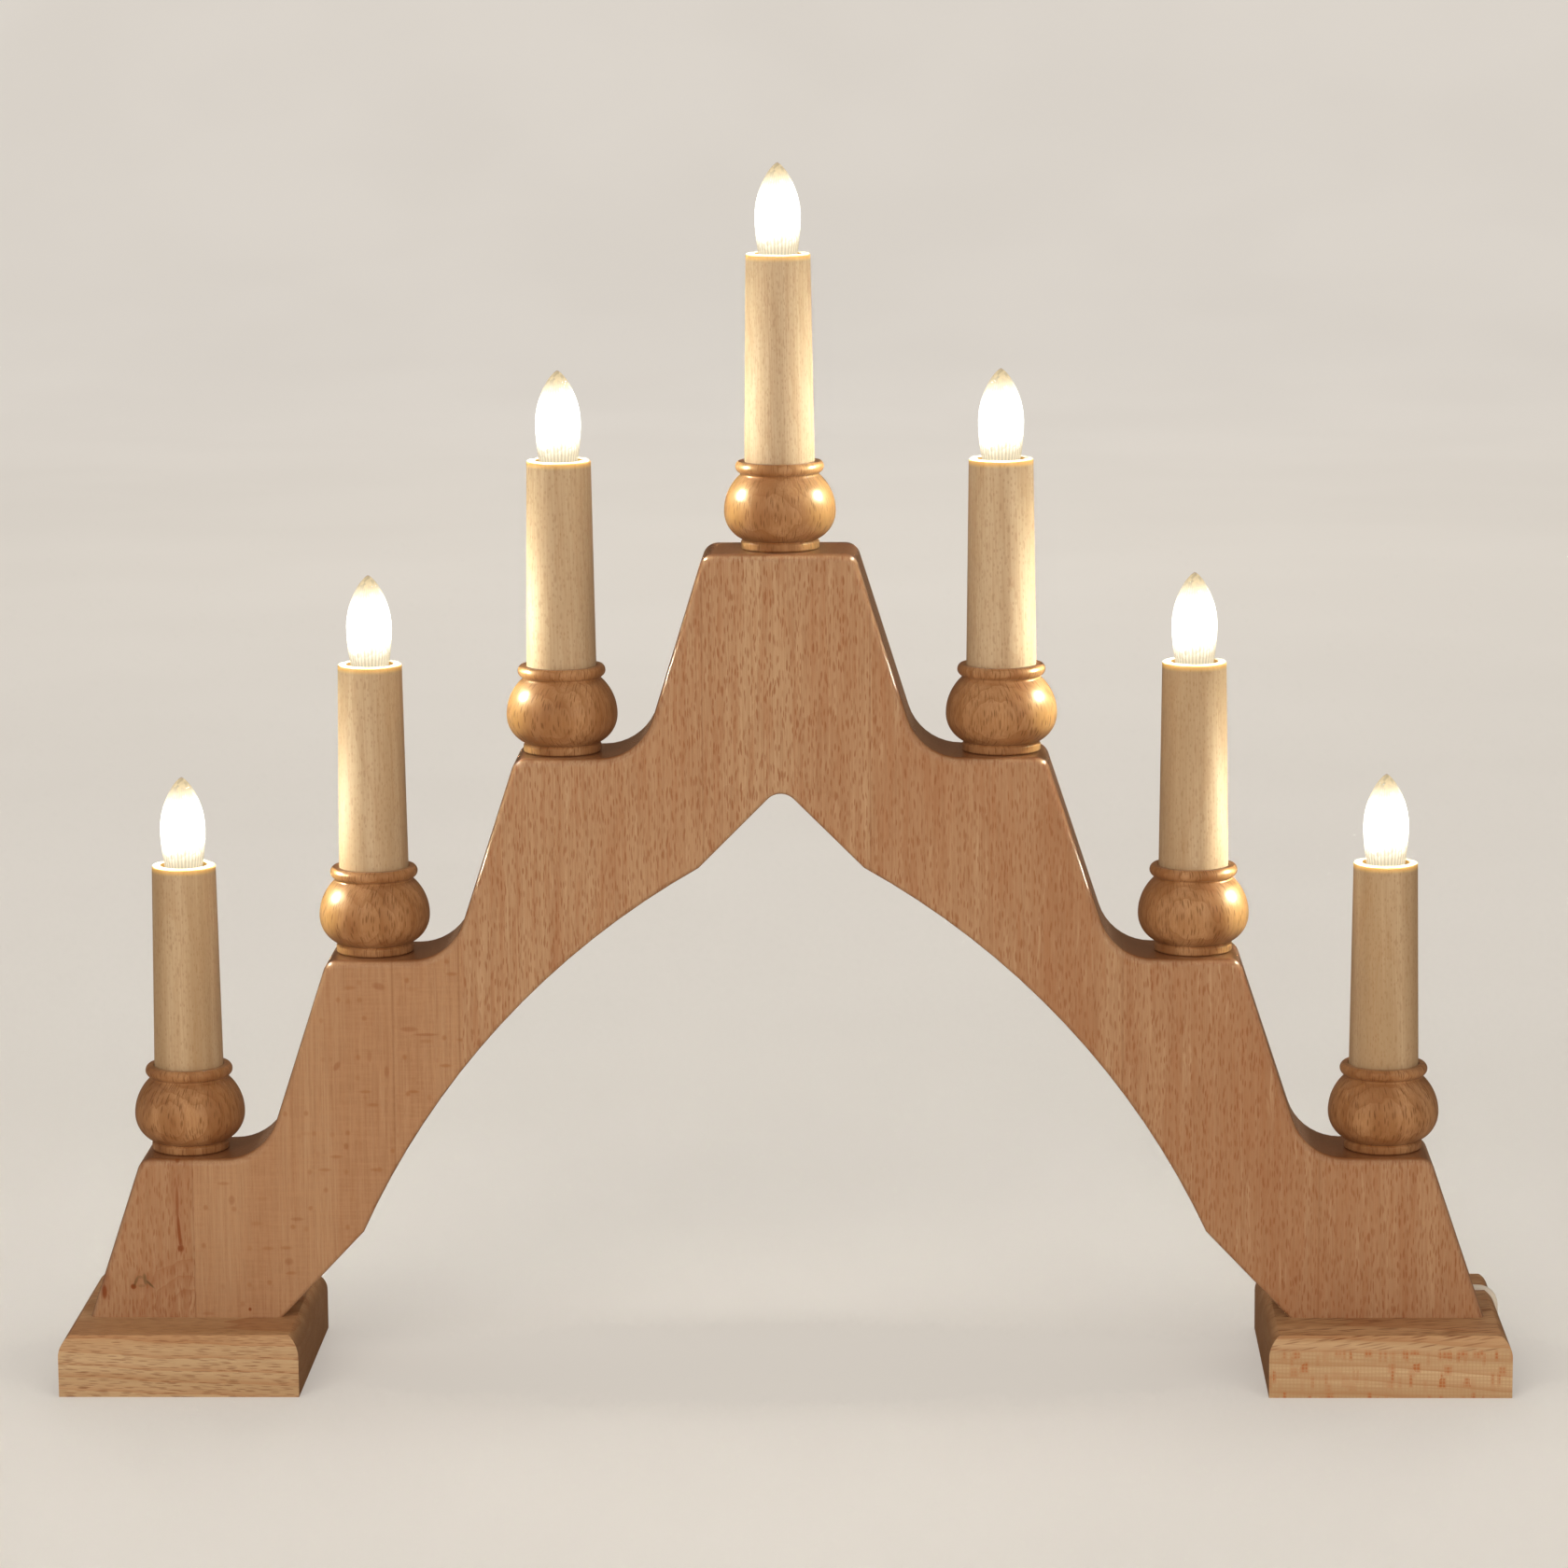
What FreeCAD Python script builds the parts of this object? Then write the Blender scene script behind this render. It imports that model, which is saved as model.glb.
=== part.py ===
import FreeCAD, Part
import math
import os

# Electric candle arch: a stepped beech board on two feet carries seven turned cups.
# Each cup holds a wooden candle tube with a screw lamp holder and a candle bulb.
# X runs along the arch, Y to its back and Z up. The origin is on the floor, under
# the middle of the board, halfway between its two faces. All sizes are millimetres.

# Candle places, from the middle of the arch to its end
inner_candle_place = 72.0
middle_candle_place = 135.0
outer_candle_place = 198.0

# Feet
foot_width = 79.0
foot_depth = 86.0
foot_thickness = 20.0
foot_edge_radius = 8.0
foot_edge_height = 6.6

# Stepped board
board_thickness = 35.0
first_step_height = 53.7
step_rise = 66.8
step_outreach = 14.5
step_inreach = 26.5
top_step_half_width = 24.6
leg_outer_place = 230.5
leg_inner_place = 166.5
shoulder_radius = 5.0
riser_fillet_radius = 18.0
outer_edge_radius = 2.5
inner_edge_radius = 1.5

# Open space under the board
knee_place = 139.0
knee_height = 29.0
neck_place = 27.0
neck_height = 151.0
apex_height = 178.0
apex_radius = 6.0
vault_bulge = 13.0

# Wire ways in the board, and the wires in them
wire_bore_radius = 4.0
groove_width = 7.0
groove_depth = 7.0
wire_radius = 0.8
wire_bend_radius = 2.4
feed_bend_radius = 1.2
wire_offset = 1.6
wire_lift = 3.5
wire_knee_lift = 2.4
wire_toe_lift = 1.2
wire_stops = 6
wire_sides = 6

# Turned cup
cup_height = 28.6
cup_base_radius = 12.8
cup_base_height = 2.4
cup_base_edge_radius = 0.7
cup_waist_radius = 12.2
cup_waist_height = 3.1
cup_belly_radius = 18.2
cup_belly_height = 12.3
cup_neck_radius = 13.2
cup_neck_height = 23.9
cup_neck_width = 1.0
cup_neck_groove = 0.3
cup_bead_radius = 14.4
cup_bead_height = 27.0
cup_rim_radius = 13.5
cup_socket_depth = 12.0
cup_tenon_radius = 7.0
cup_tenon_length = 10.0
glue_gap = 0.1

# Candle tube
tube_length = 79.3
tube_foot_radius = 11.6
tube_top_radius = 10.5
tube_bore_radius = 7.7
tube_edge_radius = 0.8

# Lamp holder, measured from the face that the bulb's contact rests on
holder_radius = 7.6
holder_height = 12.2
holder_base_height = 8.0
holder_mouth_chamfer = 0.5
holder_depth_below_tube = 5.0
thread_clearance = 0.08

# Candle bulb, measured from the bottom of its contact
contact_radius = 1.6
contact_height = 1.2
insulator_radius = 3.0
insulator_height = 2.6
cap_radius = 4.75
cap_height = 12.8
cap_wall = 0.3
cap_bevel = 0.9
cap_eyelet_radius = 1.4
glass_collar_radius = 5.0
glass_collar_height = 13.4
glass_throat_radius = 6.35
glass_throat_height = 17.2
glass_belly_radius = 7.4
glass_belly_height = 29.0
glass_shoulder_radius = 3.1
glass_shoulder_height = 43.4
glass_tip_radius = 0.8
glass_height = 46.5
glass_wall = 0.6
glass_neck_radius = 4.35
glass_neck_base = 7.0
stem_radius = 1.3
stem_height = 21.0
stem_flare_height = 1.2
filament_height = 30.5
filament_half_width = 3.4
filament_rise = 1.6
filament_radius = 0.3
support_radius = 0.25

# Foot screws
screw_radius = 2.0
screw_head_radius = 4.0
screw_head_height = 2.4
screw_recess = 1.0
screw_bite = 22.0
screw_point_length = 4.0
screw_place = 20.0
screw_depth_place = -9.0
screw_clearance = 0.3

# Mains lead and its strain relief
lead_diameter = 4.0
lead_sink = 0.7
lead_channel_radius = 2.6
lead_channel_sides = 8
sleeve_length = 9.0
sleeve_radius = 3.2
sleeve_tip_radius = 2.5
sleeve_clearance = 0.15

# Put-away coil: its lower layer winds in, it climbs half a turn, and the upper layer winds out
coil_middle_radius = 22.0
coil_turn_step = 5.2
coil_layer_step = 4.8
coil_lower_quarters = 20
coil_climb_quarters = 2
coil_upper_quarters = 17
coil_sides = 8

# Mains plug
plug_thickness = 13.7
plug_width = 35.3
plug_face_width = 26.0
plug_back_width = 14.0
plug_length = 35.0
plug_back_length = 20.0
plug_front_length = 7.0
plug_edge_radius = 2.0
plug_pin_radius = 2.0
plug_pin_length = 19.0
plug_pin_spacing = 19.0
plug_pin_edge_radius = 0.8
plug_sleeve_length = 20.0
plug_sleeve_radius = 4.2
plug_sleeve_tip_radius = 2.5
plug_gap = 0.05

# Share of the shorter run beside a bend that the bend's arc takes up at each end
bend_share = 0.45

# Cutting overrun, matching tolerance, and points taken on each arc for the coil's gap
overrun = 2.0
tolerance = 0.001
gap_samples = 6


def vector(x, y, z):
    return FreeCAD.Vector(x, y, z)


# Worked-out sizes
lead_radius = lead_diameter / 2
lead_height = foot_thickness - lead_sink
foot_front = -foot_depth / 2
step_places = [outer_candle_place, middle_candle_place, inner_candle_place, 0]
step_heights = [foot_thickness + first_step_height + step_rise * number for number in range(len(step_places))]
candles = [(-place, height) for place, height in zip(step_places, step_heights)]
candles += [(place, height) for place, height in reversed(list(zip(step_places, step_heights))[:-1])]
tube_seat = cup_height - cup_socket_depth
tube_top = tube_seat + tube_length
holder_seat = tube_top - holder_depth_below_tube - holder_height
sleeve_heading = vector(1, 1, 0).normalize()

# Route of the lead from its sleeve to the coil, chosen by hand. It leaves under the right
# leg, lies in its groove behind the board, bends over the foot's edge and runs to the back.
lead_route = [
    vector(203.3, 9.8, lead_height),
    vector(213.9, 20.4, lead_height),
    vector(236.8, 20.4, lead_height),
    vector(236.8, 20.4, 8.4),
    vector(239.9, 26.4, 2.05),
    vector(240.0, 38.0, 2.05),
    vector(233.0, 50.3, 2.05),
    vector(219.0, 57.0, 2.05),
    vector(204.0, 57.0, 2.05),
]

# Ways of the last wires in the slot under the right leg to the lead's sleeve, chosen by hand
feed_route = [
    vector(196.4, 1.6, 21.0),
    vector(197.5, 2.7, 21.0),
]
return_route = [
    vector(186.0, 1.6, 21.0),
    vector(192.5, -1.3, 21.0),
    vector(195.9, -1.3, 21.0),
    vector(198.7, 1.5, 21.0),
]

# Route of the lead from the coil to the plug that lies on it, chosen by hand
coil_outer_radius = coil_middle_radius + coil_turn_step * coil_lower_quarters / 8
coil_end_radius = coil_outer_radius - coil_turn_step * (coil_lower_quarters - coil_upper_quarters) / 4
coil_centre = lead_route[-1] + vector(-lead_diameter, coil_outer_radius, 0)
coil_end = coil_centre + vector(coil_end_radius, 0, coil_layer_step)
plug_rise = lead_radius + plug_gap + plug_thickness / 2
tail_route = [
    coil_end + vector(0, -lead_diameter, 0),
    coil_end + vector(0, -14.4, 0),
    coil_end + vector(-5.8, -28.4, 2.9),
    coil_end + vector(-21.8, -36.4, 7.7),
    coil_end + vector(-43.8, -36.4, plug_rise),
    coil_end + vector(-43.8, -24.4, plug_rise),
]


def profile_point(radius, height):
    return vector(radius, 0, height)


def line(start, end):
    return Part.LineSegment(start, end).toShape()


def arc(start, middle, end):
    return Part.Arc(start, middle, end).toShape()


def corner_arc(before, corner, after, radius):
    """Tangent arc of this radius in the corner between two straight runs."""
    towards = (before - corner).normalize()
    away = (after - corner).normalize()
    half_angle = towards.getAngle(away) / 2
    reach = radius / math.tan(half_angle)
    bisector = (towards + away).normalize()
    middle = corner + bisector * (radius / math.sin(half_angle) - radius)
    return corner + towards * reach, middle, corner + away * reach


def rounded_path(points, radii):
    """Straight runs joined by tangent arcs, with one radius for each inner point."""
    edges = []
    place = points[0]
    for before, corner, after, radius in zip(points, points[1:], points[2:], radii):
        if radius == 0:
            edges.append(line(place, corner))
            place = corner
            continue
        start, middle, end = corner_arc(before, corner, after, radius)
        if (start - place).Length > tolerance:
            edges.append(line(place, start))
        edges.append(arc(start, middle, end))
        place = end
    edges.append(line(place, points[-1]))
    return edges


def run_lengths(points):
    return [(after - before).Length for before, after in zip(points, points[1:])]


def route_radii(points):
    """The widest arcs that a route's runs allow at its inner points."""
    runs = run_lengths(points)
    radii = []
    for number in range(1, len(points) - 1):
        ahead = points[number + 1] - points[number]
        behind = points[number] - points[number - 1]
        half_turn = ahead.getAngle(behind) / 2
        radii.append(bend_share * min(runs[number - 1], runs[number]) / math.tan(half_turn))
    return radii


def polygon_section(start, heading, radius, sides):
    """Closed section of this many sides, square to the heading."""
    heading = FreeCAD.Vector(heading).normalize()
    across = heading.cross(vector(0, 0, 1))
    if across.Length < tolerance:
        across = vector(1, 0, 0)
    across.normalize()
    up = across.cross(heading)
    corners = []
    for number in range(sides):
        angle = math.pi * (2 * number + 1) / sides
        corners.append(start + (across * math.cos(angle) + up * math.sin(angle)) * radius)
    return Part.makePolygon(corners + corners[:1])


def tube_along(edges, radius, start, heading, sides=0):
    """Round tube along a path, or one with flat sides where a number of sides is given."""
    if sides:
        section = polygon_section(start, heading, radius, sides)
    else:
        section = Part.Wire([Part.Circle(start, heading, radius).toShape()])
    return Part.Wire(edges).makePipeShell([section], True, False)


def turned(edges):
    """Solid of revolution about Z from a closed profile in the XZ plane."""
    return Part.Face(Part.Wire(edges)).revolve(vector(0, 0, 0), vector(0, 0, 1), 360)


def lines_through(points):
    return [line(before, after) for before, after in zip(points, points[1:])]


def turned_outline(points):
    return turned(lines_through(points + points[:1]))


def belly_arc(belly, end):
    """Arc that leaves the widest point straight up or down and passes through the end."""
    inward = belly.x - end.x
    radius = (inward ** 2 + (end.z - belly.z) ** 2) / (2 * inward)
    centre = vector(belly.x - radius, 0, belly.z)
    half_way = ((belly - centre) + (end - centre)).normalize() * radius
    return arc(belly, centre + half_way, end)


def outline_solid(edges, thickness):
    """Plate of this thickness from an outline in the XZ plane, about its mid-plane."""
    face = Part.Face(Part.Wire(edges))
    face.translate(vector(0, -thickness / 2, 0))
    return face.extrude(vector(0, thickness, 0))


def mirrored_points(points):
    return [vector(-point.x, point.y, point.z) for point in reversed(points)]


def outer_outline():
    """Stepped outline from the right leg's foot over the top to the left leg's foot."""
    points = [vector(leg_outer_place, 0, foot_thickness)]
    radii = []
    for place, height in zip(step_places[:-1], step_heights[:-1]):
        points.append(vector(place + step_outreach, 0, height))
        points.append(vector(place - step_inreach, 0, height))
        radii += [shoulder_radius, riser_fillet_radius]
    points.append(vector(top_step_half_width, 0, step_heights[-1]))
    radii.append(shoulder_radius)
    return rounded_path(points + mirrored_points(points), radii + list(reversed(radii)))


def vault_arc(lift):
    """Ends and middle of the right-hand curve over the open space, raised by a lift."""
    knee = vector(knee_place, 0, foot_thickness + knee_height)
    neck = vector(neck_place, 0, foot_thickness + neck_height)
    chord = neck - knee
    outward = vector(chord.z, 0, -chord.x).normalize()
    middle = (knee + neck) * 0.5 + outward * vault_bulge
    return knee + outward * lift, middle + outward * lift, neck + outward * lift


def inner_outline(lift):
    """Outline of the open space from the left leg's foot over to the right leg's foot."""
    knee, middle, neck = vault_arc(lift)
    toe = vector(leg_inner_place + lift, 0, foot_thickness)
    apex = vector(0, 0, foot_thickness + apex_height + lift * math.sqrt(2))
    left_knee, left_middle, left_neck = mirrored_points([neck, middle, knee])
    edges = [line(vector(-toe.x, 0, toe.z), left_knee), arc(left_knee, left_middle, left_neck)]
    edges += rounded_path([left_neck, apex, neck], [apex_radius])
    edges += [arc(neck, middle, knee), line(knee, toe)]
    edges.append(foot_line(toe.x, -toe.x))
    return edges


def foot_line(start, end):
    return line(vector(start, 0, foot_thickness), vector(end, 0, foot_thickness))


def face_edges(solid, outline):
    """The solid's edges in the board's two faces that follow an outline above the feet."""
    wire = Part.Wire(outline)
    found = []
    for edge in solid.Edges:
        middle = edge.valueAt((edge.FirstParameter + edge.LastParameter) / 2)
        in_face = abs(abs(middle.y) - board_thickness / 2) < tolerance
        on_outline = wire.distToShape(Part.Vertex(middle.x, 0, middle.z))[0] < tolerance
        if in_face and on_outline and middle.z > foot_thickness + tolerance:
            found.append(edge)
    return found


def vault_height(place):
    """Height of the open space's edge above the floor at a place along the arch."""
    knee, middle, neck = vault_arc(0)
    if abs(place) < neck_place:
        apex = foot_thickness + apex_height
        return apex - (apex - neck.z) * abs(place) / neck_place
    curve = arc(knee, middle, neck).Curve
    return curve.Center.z + math.sqrt(curve.Radius ** 2 - (abs(place) - curve.Center.x) ** 2)


def stepped_board():
    outer = outer_outline() + [foot_line(-leg_outer_place, leg_outer_place)]
    inner = inner_outline(0)
    board = outline_solid(outer, board_thickness)
    board = board.makeFillet(outer_edge_radius, face_edges(board, outer))
    board = board.cut(outline_solid(inner, board_thickness + overrun))
    board = board.makeFillet(inner_edge_radius, face_edges(board, inner))
    return board.cut(wire_ways())


def wire_ways():
    """Groove round the open space, slots under the legs, and a bore from each cup."""
    ways = outline_solid(inner_outline(groove_depth), groove_width)
    slot_end = outer_candle_place + wire_bore_radius
    slot = Part.makeBox(2 * slot_end, groove_width, groove_depth,
                        vector(-slot_end, -groove_width / 2, foot_thickness))
    ways = ways.fuse(slot)
    for place, height in candles:
        bore = Part.makeCylinder(wire_bore_radius, height, vector(place, 0, overrun))
        seat = Part.makeCylinder(cup_tenon_radius + glue_gap, cup_tenon_length + glue_gap + overrun,
                                 vector(place, 0, height - cup_tenon_length - glue_gap))
        ways = ways.fuse([bore, seat])
    return ways


def arch_board():
    board = stepped_board()
    cutters = [screw.copy() for screw in foot_screws().Solids]
    cutters += [sleeve(sleeve_clearance), lead_channel()]
    return board.cut(cutters)


def foot(side):
    """Foot under one leg. Its flat top cuts the rounding of its edges off in a crease."""
    corner = vector(side * outer_candle_place - foot_width / 2, foot_front, 0)
    blank_thickness = foot_thickness - foot_edge_height + foot_edge_radius
    block = Part.makeBox(foot_width, foot_depth, blank_thickness, corner)
    top_edges = [edge for edge in block.Edges if edge.CenterOfMass.z > blank_thickness - tolerance]
    block = block.makeFillet(foot_edge_radius, top_edges)
    block = block.common(Part.makeBox(foot_width, foot_depth, foot_thickness, corner))
    for place in screw_places(side):
        block = block.cut(screw_shape(place, screw_clearance))
    if side > 0:
        block = block.cut([sleeve(sleeve_clearance), lead_channel()])
    return block


def screw_places(side):
    return [side * outer_candle_place - screw_place, side * outer_candle_place + screw_place]


def screw_shape(place, clearance):
    """Countersunk wood screw from below, or with a clearance the hole for it in the foot."""
    bottom = 0 if clearance else screw_recess
    top = foot_thickness + screw_bite
    head = screw_head_radius + clearance
    shank = screw_radius + clearance
    points = [profile_point(0, bottom), profile_point(head, bottom), profile_point(head, screw_recess),
              profile_point(shank, screw_recess + screw_head_height),
              profile_point(shank, top - screw_point_length), profile_point(0, top)]
    if not clearance:
        points.pop(1)
    shape = turned_outline(points)
    shape.translate(vector(place, screw_depth_place, 0))
    return shape


def foot_screws():
    places = screw_places(-1) + screw_places(1)
    return Part.makeCompound([screw_shape(place, 0) for place in places])


def candle_cup():
    """Turned cup with a tenon below, a bowl, a bead at its rim and a socket for the tube."""
    waist = profile_point(cup_waist_radius, cup_waist_height)
    belly = profile_point(cup_belly_radius, cup_belly_height)
    neck_start = profile_point(cup_neck_radius, cup_neck_height)
    neck_middle = profile_point(cup_neck_radius - cup_neck_groove, cup_neck_height + cup_neck_width / 2)
    neck_end = profile_point(cup_neck_radius, cup_neck_height + cup_neck_width)
    rim = profile_point(cup_rim_radius, cup_height)
    socket_radius = tube_foot_radius + glue_gap
    base = [profile_point(cup_tenon_radius, 0), profile_point(cup_base_radius, 0),
            profile_point(cup_base_radius, cup_base_height), waist]
    inside = [rim, profile_point(socket_radius, cup_height), profile_point(socket_radius, tube_seat),
              profile_point(wire_bore_radius, tube_seat), profile_point(wire_bore_radius, -cup_tenon_length),
              profile_point(cup_tenon_radius, -cup_tenon_length), base[0]]
    edges = rounded_path(base, [cup_base_edge_radius, cup_base_edge_radius])
    edges += [belly_arc(belly, waist), belly_arc(belly, neck_start), arc(neck_start, neck_middle, neck_end)]
    edges += [arc(neck_end, profile_point(cup_bead_radius, cup_bead_height), rim)]
    return turned(edges + lines_through(inside))


def candle_tube():
    """Slightly tapered wooden tube that stands in the cup's socket."""
    points = [profile_point(tube_bore_radius, tube_seat), profile_point(tube_foot_radius, tube_seat),
              profile_point(tube_top_radius, tube_top), profile_point(tube_bore_radius, tube_top),
              profile_point(tube_bore_radius, tube_seat)]
    return turned(rounded_path(points, [0, tube_edge_radius, 0]))


def lamp_holder():
    """Screw holder in the tube's mouth. The bulb's contact rests on the floor of its bore."""
    bore = cap_radius + thread_clearance
    mouth = bore + holder_mouth_chamfer
    return turned_outline([
        profile_point(0, -holder_base_height), profile_point(holder_radius, -holder_base_height),
        profile_point(holder_radius, holder_height), profile_point(mouth, holder_height),
        profile_point(bore, holder_height - holder_mouth_chamfer), profile_point(bore, 0),
        profile_point(0, 0)])


def bulb_contact():
    """Solder button and insulator under the cap, which ride up and down with the bulb."""
    return turned_outline([
        profile_point(0, 0), profile_point(contact_radius, 0),
        profile_point(contact_radius, contact_height), profile_point(insulator_radius, insulator_height),
        profile_point(0, insulator_height)])


def bulb_cap():
    """Screw cap at the diameter of its thread's crests."""
    inside = cap_radius - cap_wall
    floor_top = insulator_height + cap_wall
    return turned_outline([
        profile_point(cap_eyelet_radius, insulator_height),
        profile_point(cap_radius - cap_bevel, insulator_height),
        profile_point(cap_radius, insulator_height + cap_bevel), profile_point(cap_radius, cap_height),
        profile_point(inside, cap_height), profile_point(inside, floor_top + cap_bevel),
        profile_point(inside - cap_bevel, floor_top), profile_point(cap_eyelet_radius, floor_top)])


def glass_body(inset):
    """Candle-shaped body from the bulb's neck to its tip, drawn in by the glass's wall."""
    base = profile_point(glass_neck_radius - inset, glass_neck_base)
    neck = profile_point(glass_neck_radius - inset, cap_height)
    collar = profile_point(glass_collar_radius - inset, glass_collar_height)
    throat = profile_point(glass_throat_radius - inset, glass_throat_height)
    belly = profile_point(glass_belly_radius - inset, glass_belly_height)
    shoulder = profile_point(glass_shoulder_radius - inset, glass_shoulder_height)
    apex = profile_point(0, glass_height - inset)
    start, top, end = corner_arc(shoulder, apex, mirrored_points([shoulder])[0], glass_tip_radius)
    centre = top - vector(0, 0, glass_tip_radius)
    half_way = centre + ((start - centre) + (top - centre)).normalize() * glass_tip_radius
    edges = lines_through([base, neck, collar, throat])
    edges += [belly_arc(belly, throat), belly_arc(belly, shoulder), line(shoulder, start)]
    edges += [arc(start, half_way, top), line(top, profile_point(0, glass_neck_base))]
    return turned(edges + [line(profile_point(0, glass_neck_base), base)])


def bulb_glass():
    return glass_body(0).cut(glass_body(glass_wall))


def bulb_filament():
    """Glass stem that closes the bulb's neck, two support wires and the filament on them."""
    flare = glass_neck_radius - glass_wall
    stem = turned_outline([
        profile_point(0, glass_neck_base), profile_point(flare, glass_neck_base),
        profile_point(stem_radius, glass_neck_base + stem_flare_height),
        profile_point(stem_radius, stem_height), profile_point(0, stem_height)])
    ends = [vector(side * filament_half_width, 0, filament_height) for side in (-1, 1)]
    for end in ends:
        foot_point = vector(math.copysign(stem_radius / 2, end.x), 0, stem_height - support_radius)
        reach = end - foot_point
        stem = stem.fuse(Part.makeCylinder(support_radius, reach.Length, foot_point, reach))
    middle = vector(0, 0, filament_height + filament_rise)
    curve = Part.Arc(ends[0], middle, ends[1])
    heading = curve.tangent(curve.FirstParameter)[0]
    return stem.fuse(tube_along([curve.toShape()], filament_radius, ends[0], heading))


def placed(shape, place, height):
    copy = shape.copy()
    copy.translate(vector(place, 0, height))
    return copy


def wire_end(place, height, offset, depth):
    """Point under a lamp holder where one of its two wires starts."""
    return vector(place + offset, depth, height + holder_seat - holder_base_height)


def groove_points(start, end, depth):
    """Turning points of a wire in the groove, between two places right of the middle."""
    knee, middle, neck = vault_arc(0)
    step = (middle_candle_place - neck_place) / wire_stops
    stops = [neck_place + step * number for number in range(wire_stops)]
    way = [start] + [stop for stop in stops if start < stop < end]
    if end < middle_candle_place:
        way.append(end)
    points = [vector(place, depth, vault_height(place) + wire_lift) for place in way]
    if end > middle_candle_place:
        points.append(knee + vector(wire_knee_lift, depth, wire_knee_lift))
        points.append(vector(leg_inner_place + wire_toe_lift, depth, foot_thickness + wire_lift))
        points.append(vector(end, depth, foot_thickness + wire_lift))
    return points


def wire(points, bend_radius=wire_bend_radius):
    radii = [bend_radius] * (len(points) - 2)
    return tube_along(rounded_path(points, radii), wire_radius, points[0], points[1] - points[0], wire_sides)


def series_wiring():
    """Wires between neighbouring holders, and one from each end holder to the lead's sleeve."""
    right = candles[len(step_places) - 1:]
    wires = []
    for (place, height), (next_place, next_height) in zip(right, right[1:]):
        start = wire_end(place, height, wire_offset, -wire_offset)
        end = wire_end(next_place, next_height, -wire_offset, -wire_offset)
        link = [start] + groove_points(start.x, end.x, -wire_offset) + [end]
        wires += [wire(link), wire(mirrored_points(link))]
    wires.append(wire([wire_end(*right[-1], -wire_offset, wire_offset)] + feed_route, feed_bend_radius))
    outer_end = wire_end(*right[-1], wire_offset, wire_offset)
    half = groove_points(0, outer_end.x, wire_offset)
    wires.append(wire(mirrored_points(half + [outer_end]) + half[1:-1] + return_route))
    return Part.makeCompound(wires)


def sleeve(clearance):
    """Tapered strain relief round the lead's end, or with a clearance the pocket for it."""
    length = sleeve_length + clearance
    back = lead_route[0] - sleeve_heading * length
    return Part.makeCone(sleeve_radius + clearance, sleeve_tip_radius + clearance, length, back, sleeve_heading)


def route_edges(route):
    return rounded_path(route, route_radii(route))


def lead_tube(route, radius, sides=0):
    return tube_along(route_edges(route), radius, route[0], route[1] - route[0], sides)


def lead_channel():
    """Room for the lead where it lies in the foot's top and passes under the leg."""
    return lead_tube(lead_route, lead_channel_radius, lead_channel_sides)


def biarc(start, start_heading, end, end_heading):
    """Two tangent arcs from one point and heading to another."""
    span = end - start
    both = start_heading + end_heading
    square = 2 * (start_heading.dot(end_heading) - 1)
    across = span.dot(both)
    reach = (across - math.sqrt(across ** 2 - square * span.dot(span))) / square
    corner, next_corner = start + start_heading * reach, end - end_heading * reach
    joint = (corner + next_corner) * 0.5
    edges = []
    for before, turn, after in ((start, corner, joint), (joint, next_corner, end)):
        bisector = ((before - turn) + (after - turn)).normalize()
        half_angle = (before - turn).getAngle(after - turn) / 2
        radius = reach * math.tan(half_angle)
        edges.append(arc(before, turn + bisector * (radius / math.sin(half_angle) - radius), after))
    return edges


def coil_station(quarter):
    """Place and heading of the coil's middle line after a number of quarter turns."""
    climb_end = coil_lower_quarters + coil_climb_quarters
    inward = min(quarter, coil_lower_quarters) - max(quarter - climb_end, 0)
    radius = coil_outer_radius - coil_turn_step * inward / 4
    drift = 0
    if quarter < coil_lower_quarters:
        drift = -coil_turn_step / math.tau
    if quarter > climb_end:
        drift = coil_turn_step / math.tau
    climbed = min(max(quarter - coil_lower_quarters, 0), coil_climb_quarters) / coil_climb_quarters
    rise = 0
    if 0 < climbed < 1:
        rise = 2 * coil_layer_step / math.pi
    angle = -math.pi / 2 * (quarter + 1)
    outward = vector(math.cos(angle), math.sin(angle), 0)
    onward = vector(math.sin(angle), -math.cos(angle), 0)
    if quarter in (0, coil_lower_quarters + coil_climb_quarters + coil_upper_quarters):
        drift = 0
    place = coil_centre + outward * radius + vector(0, 0, climbed * coil_layer_step)
    return place, (onward * radius + outward * drift + vector(0, 0, rise)).normalize()


def coil_edges():
    quarters = coil_lower_quarters + coil_climb_quarters + coil_upper_quarters
    stations = [coil_station(quarter) for quarter in range(quarters + 1)]
    edges = [line(lead_route[-1], stations[0][0])]
    for (place, heading), (next_place, next_heading) in zip(stations, stations[1:]):
        edges += biarc(place, heading, next_place, next_heading)
    edges.append(line(stations[-1][0], tail_route[0]))
    return edges


def least_self_gap(edges):
    """Smallest clear distance between parts of the coil that are over half a turn apart."""
    points = []
    for edge in edges:
        points += edge.discretize(gap_samples)[:-1]
    apart = (gap_samples - 1) * 4
    least = min(points[low].distanceToPoint(points[high])
                for low in range(0, len(points))
                for high in range(low + apart, len(points)))
    return least - lead_diameter


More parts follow.
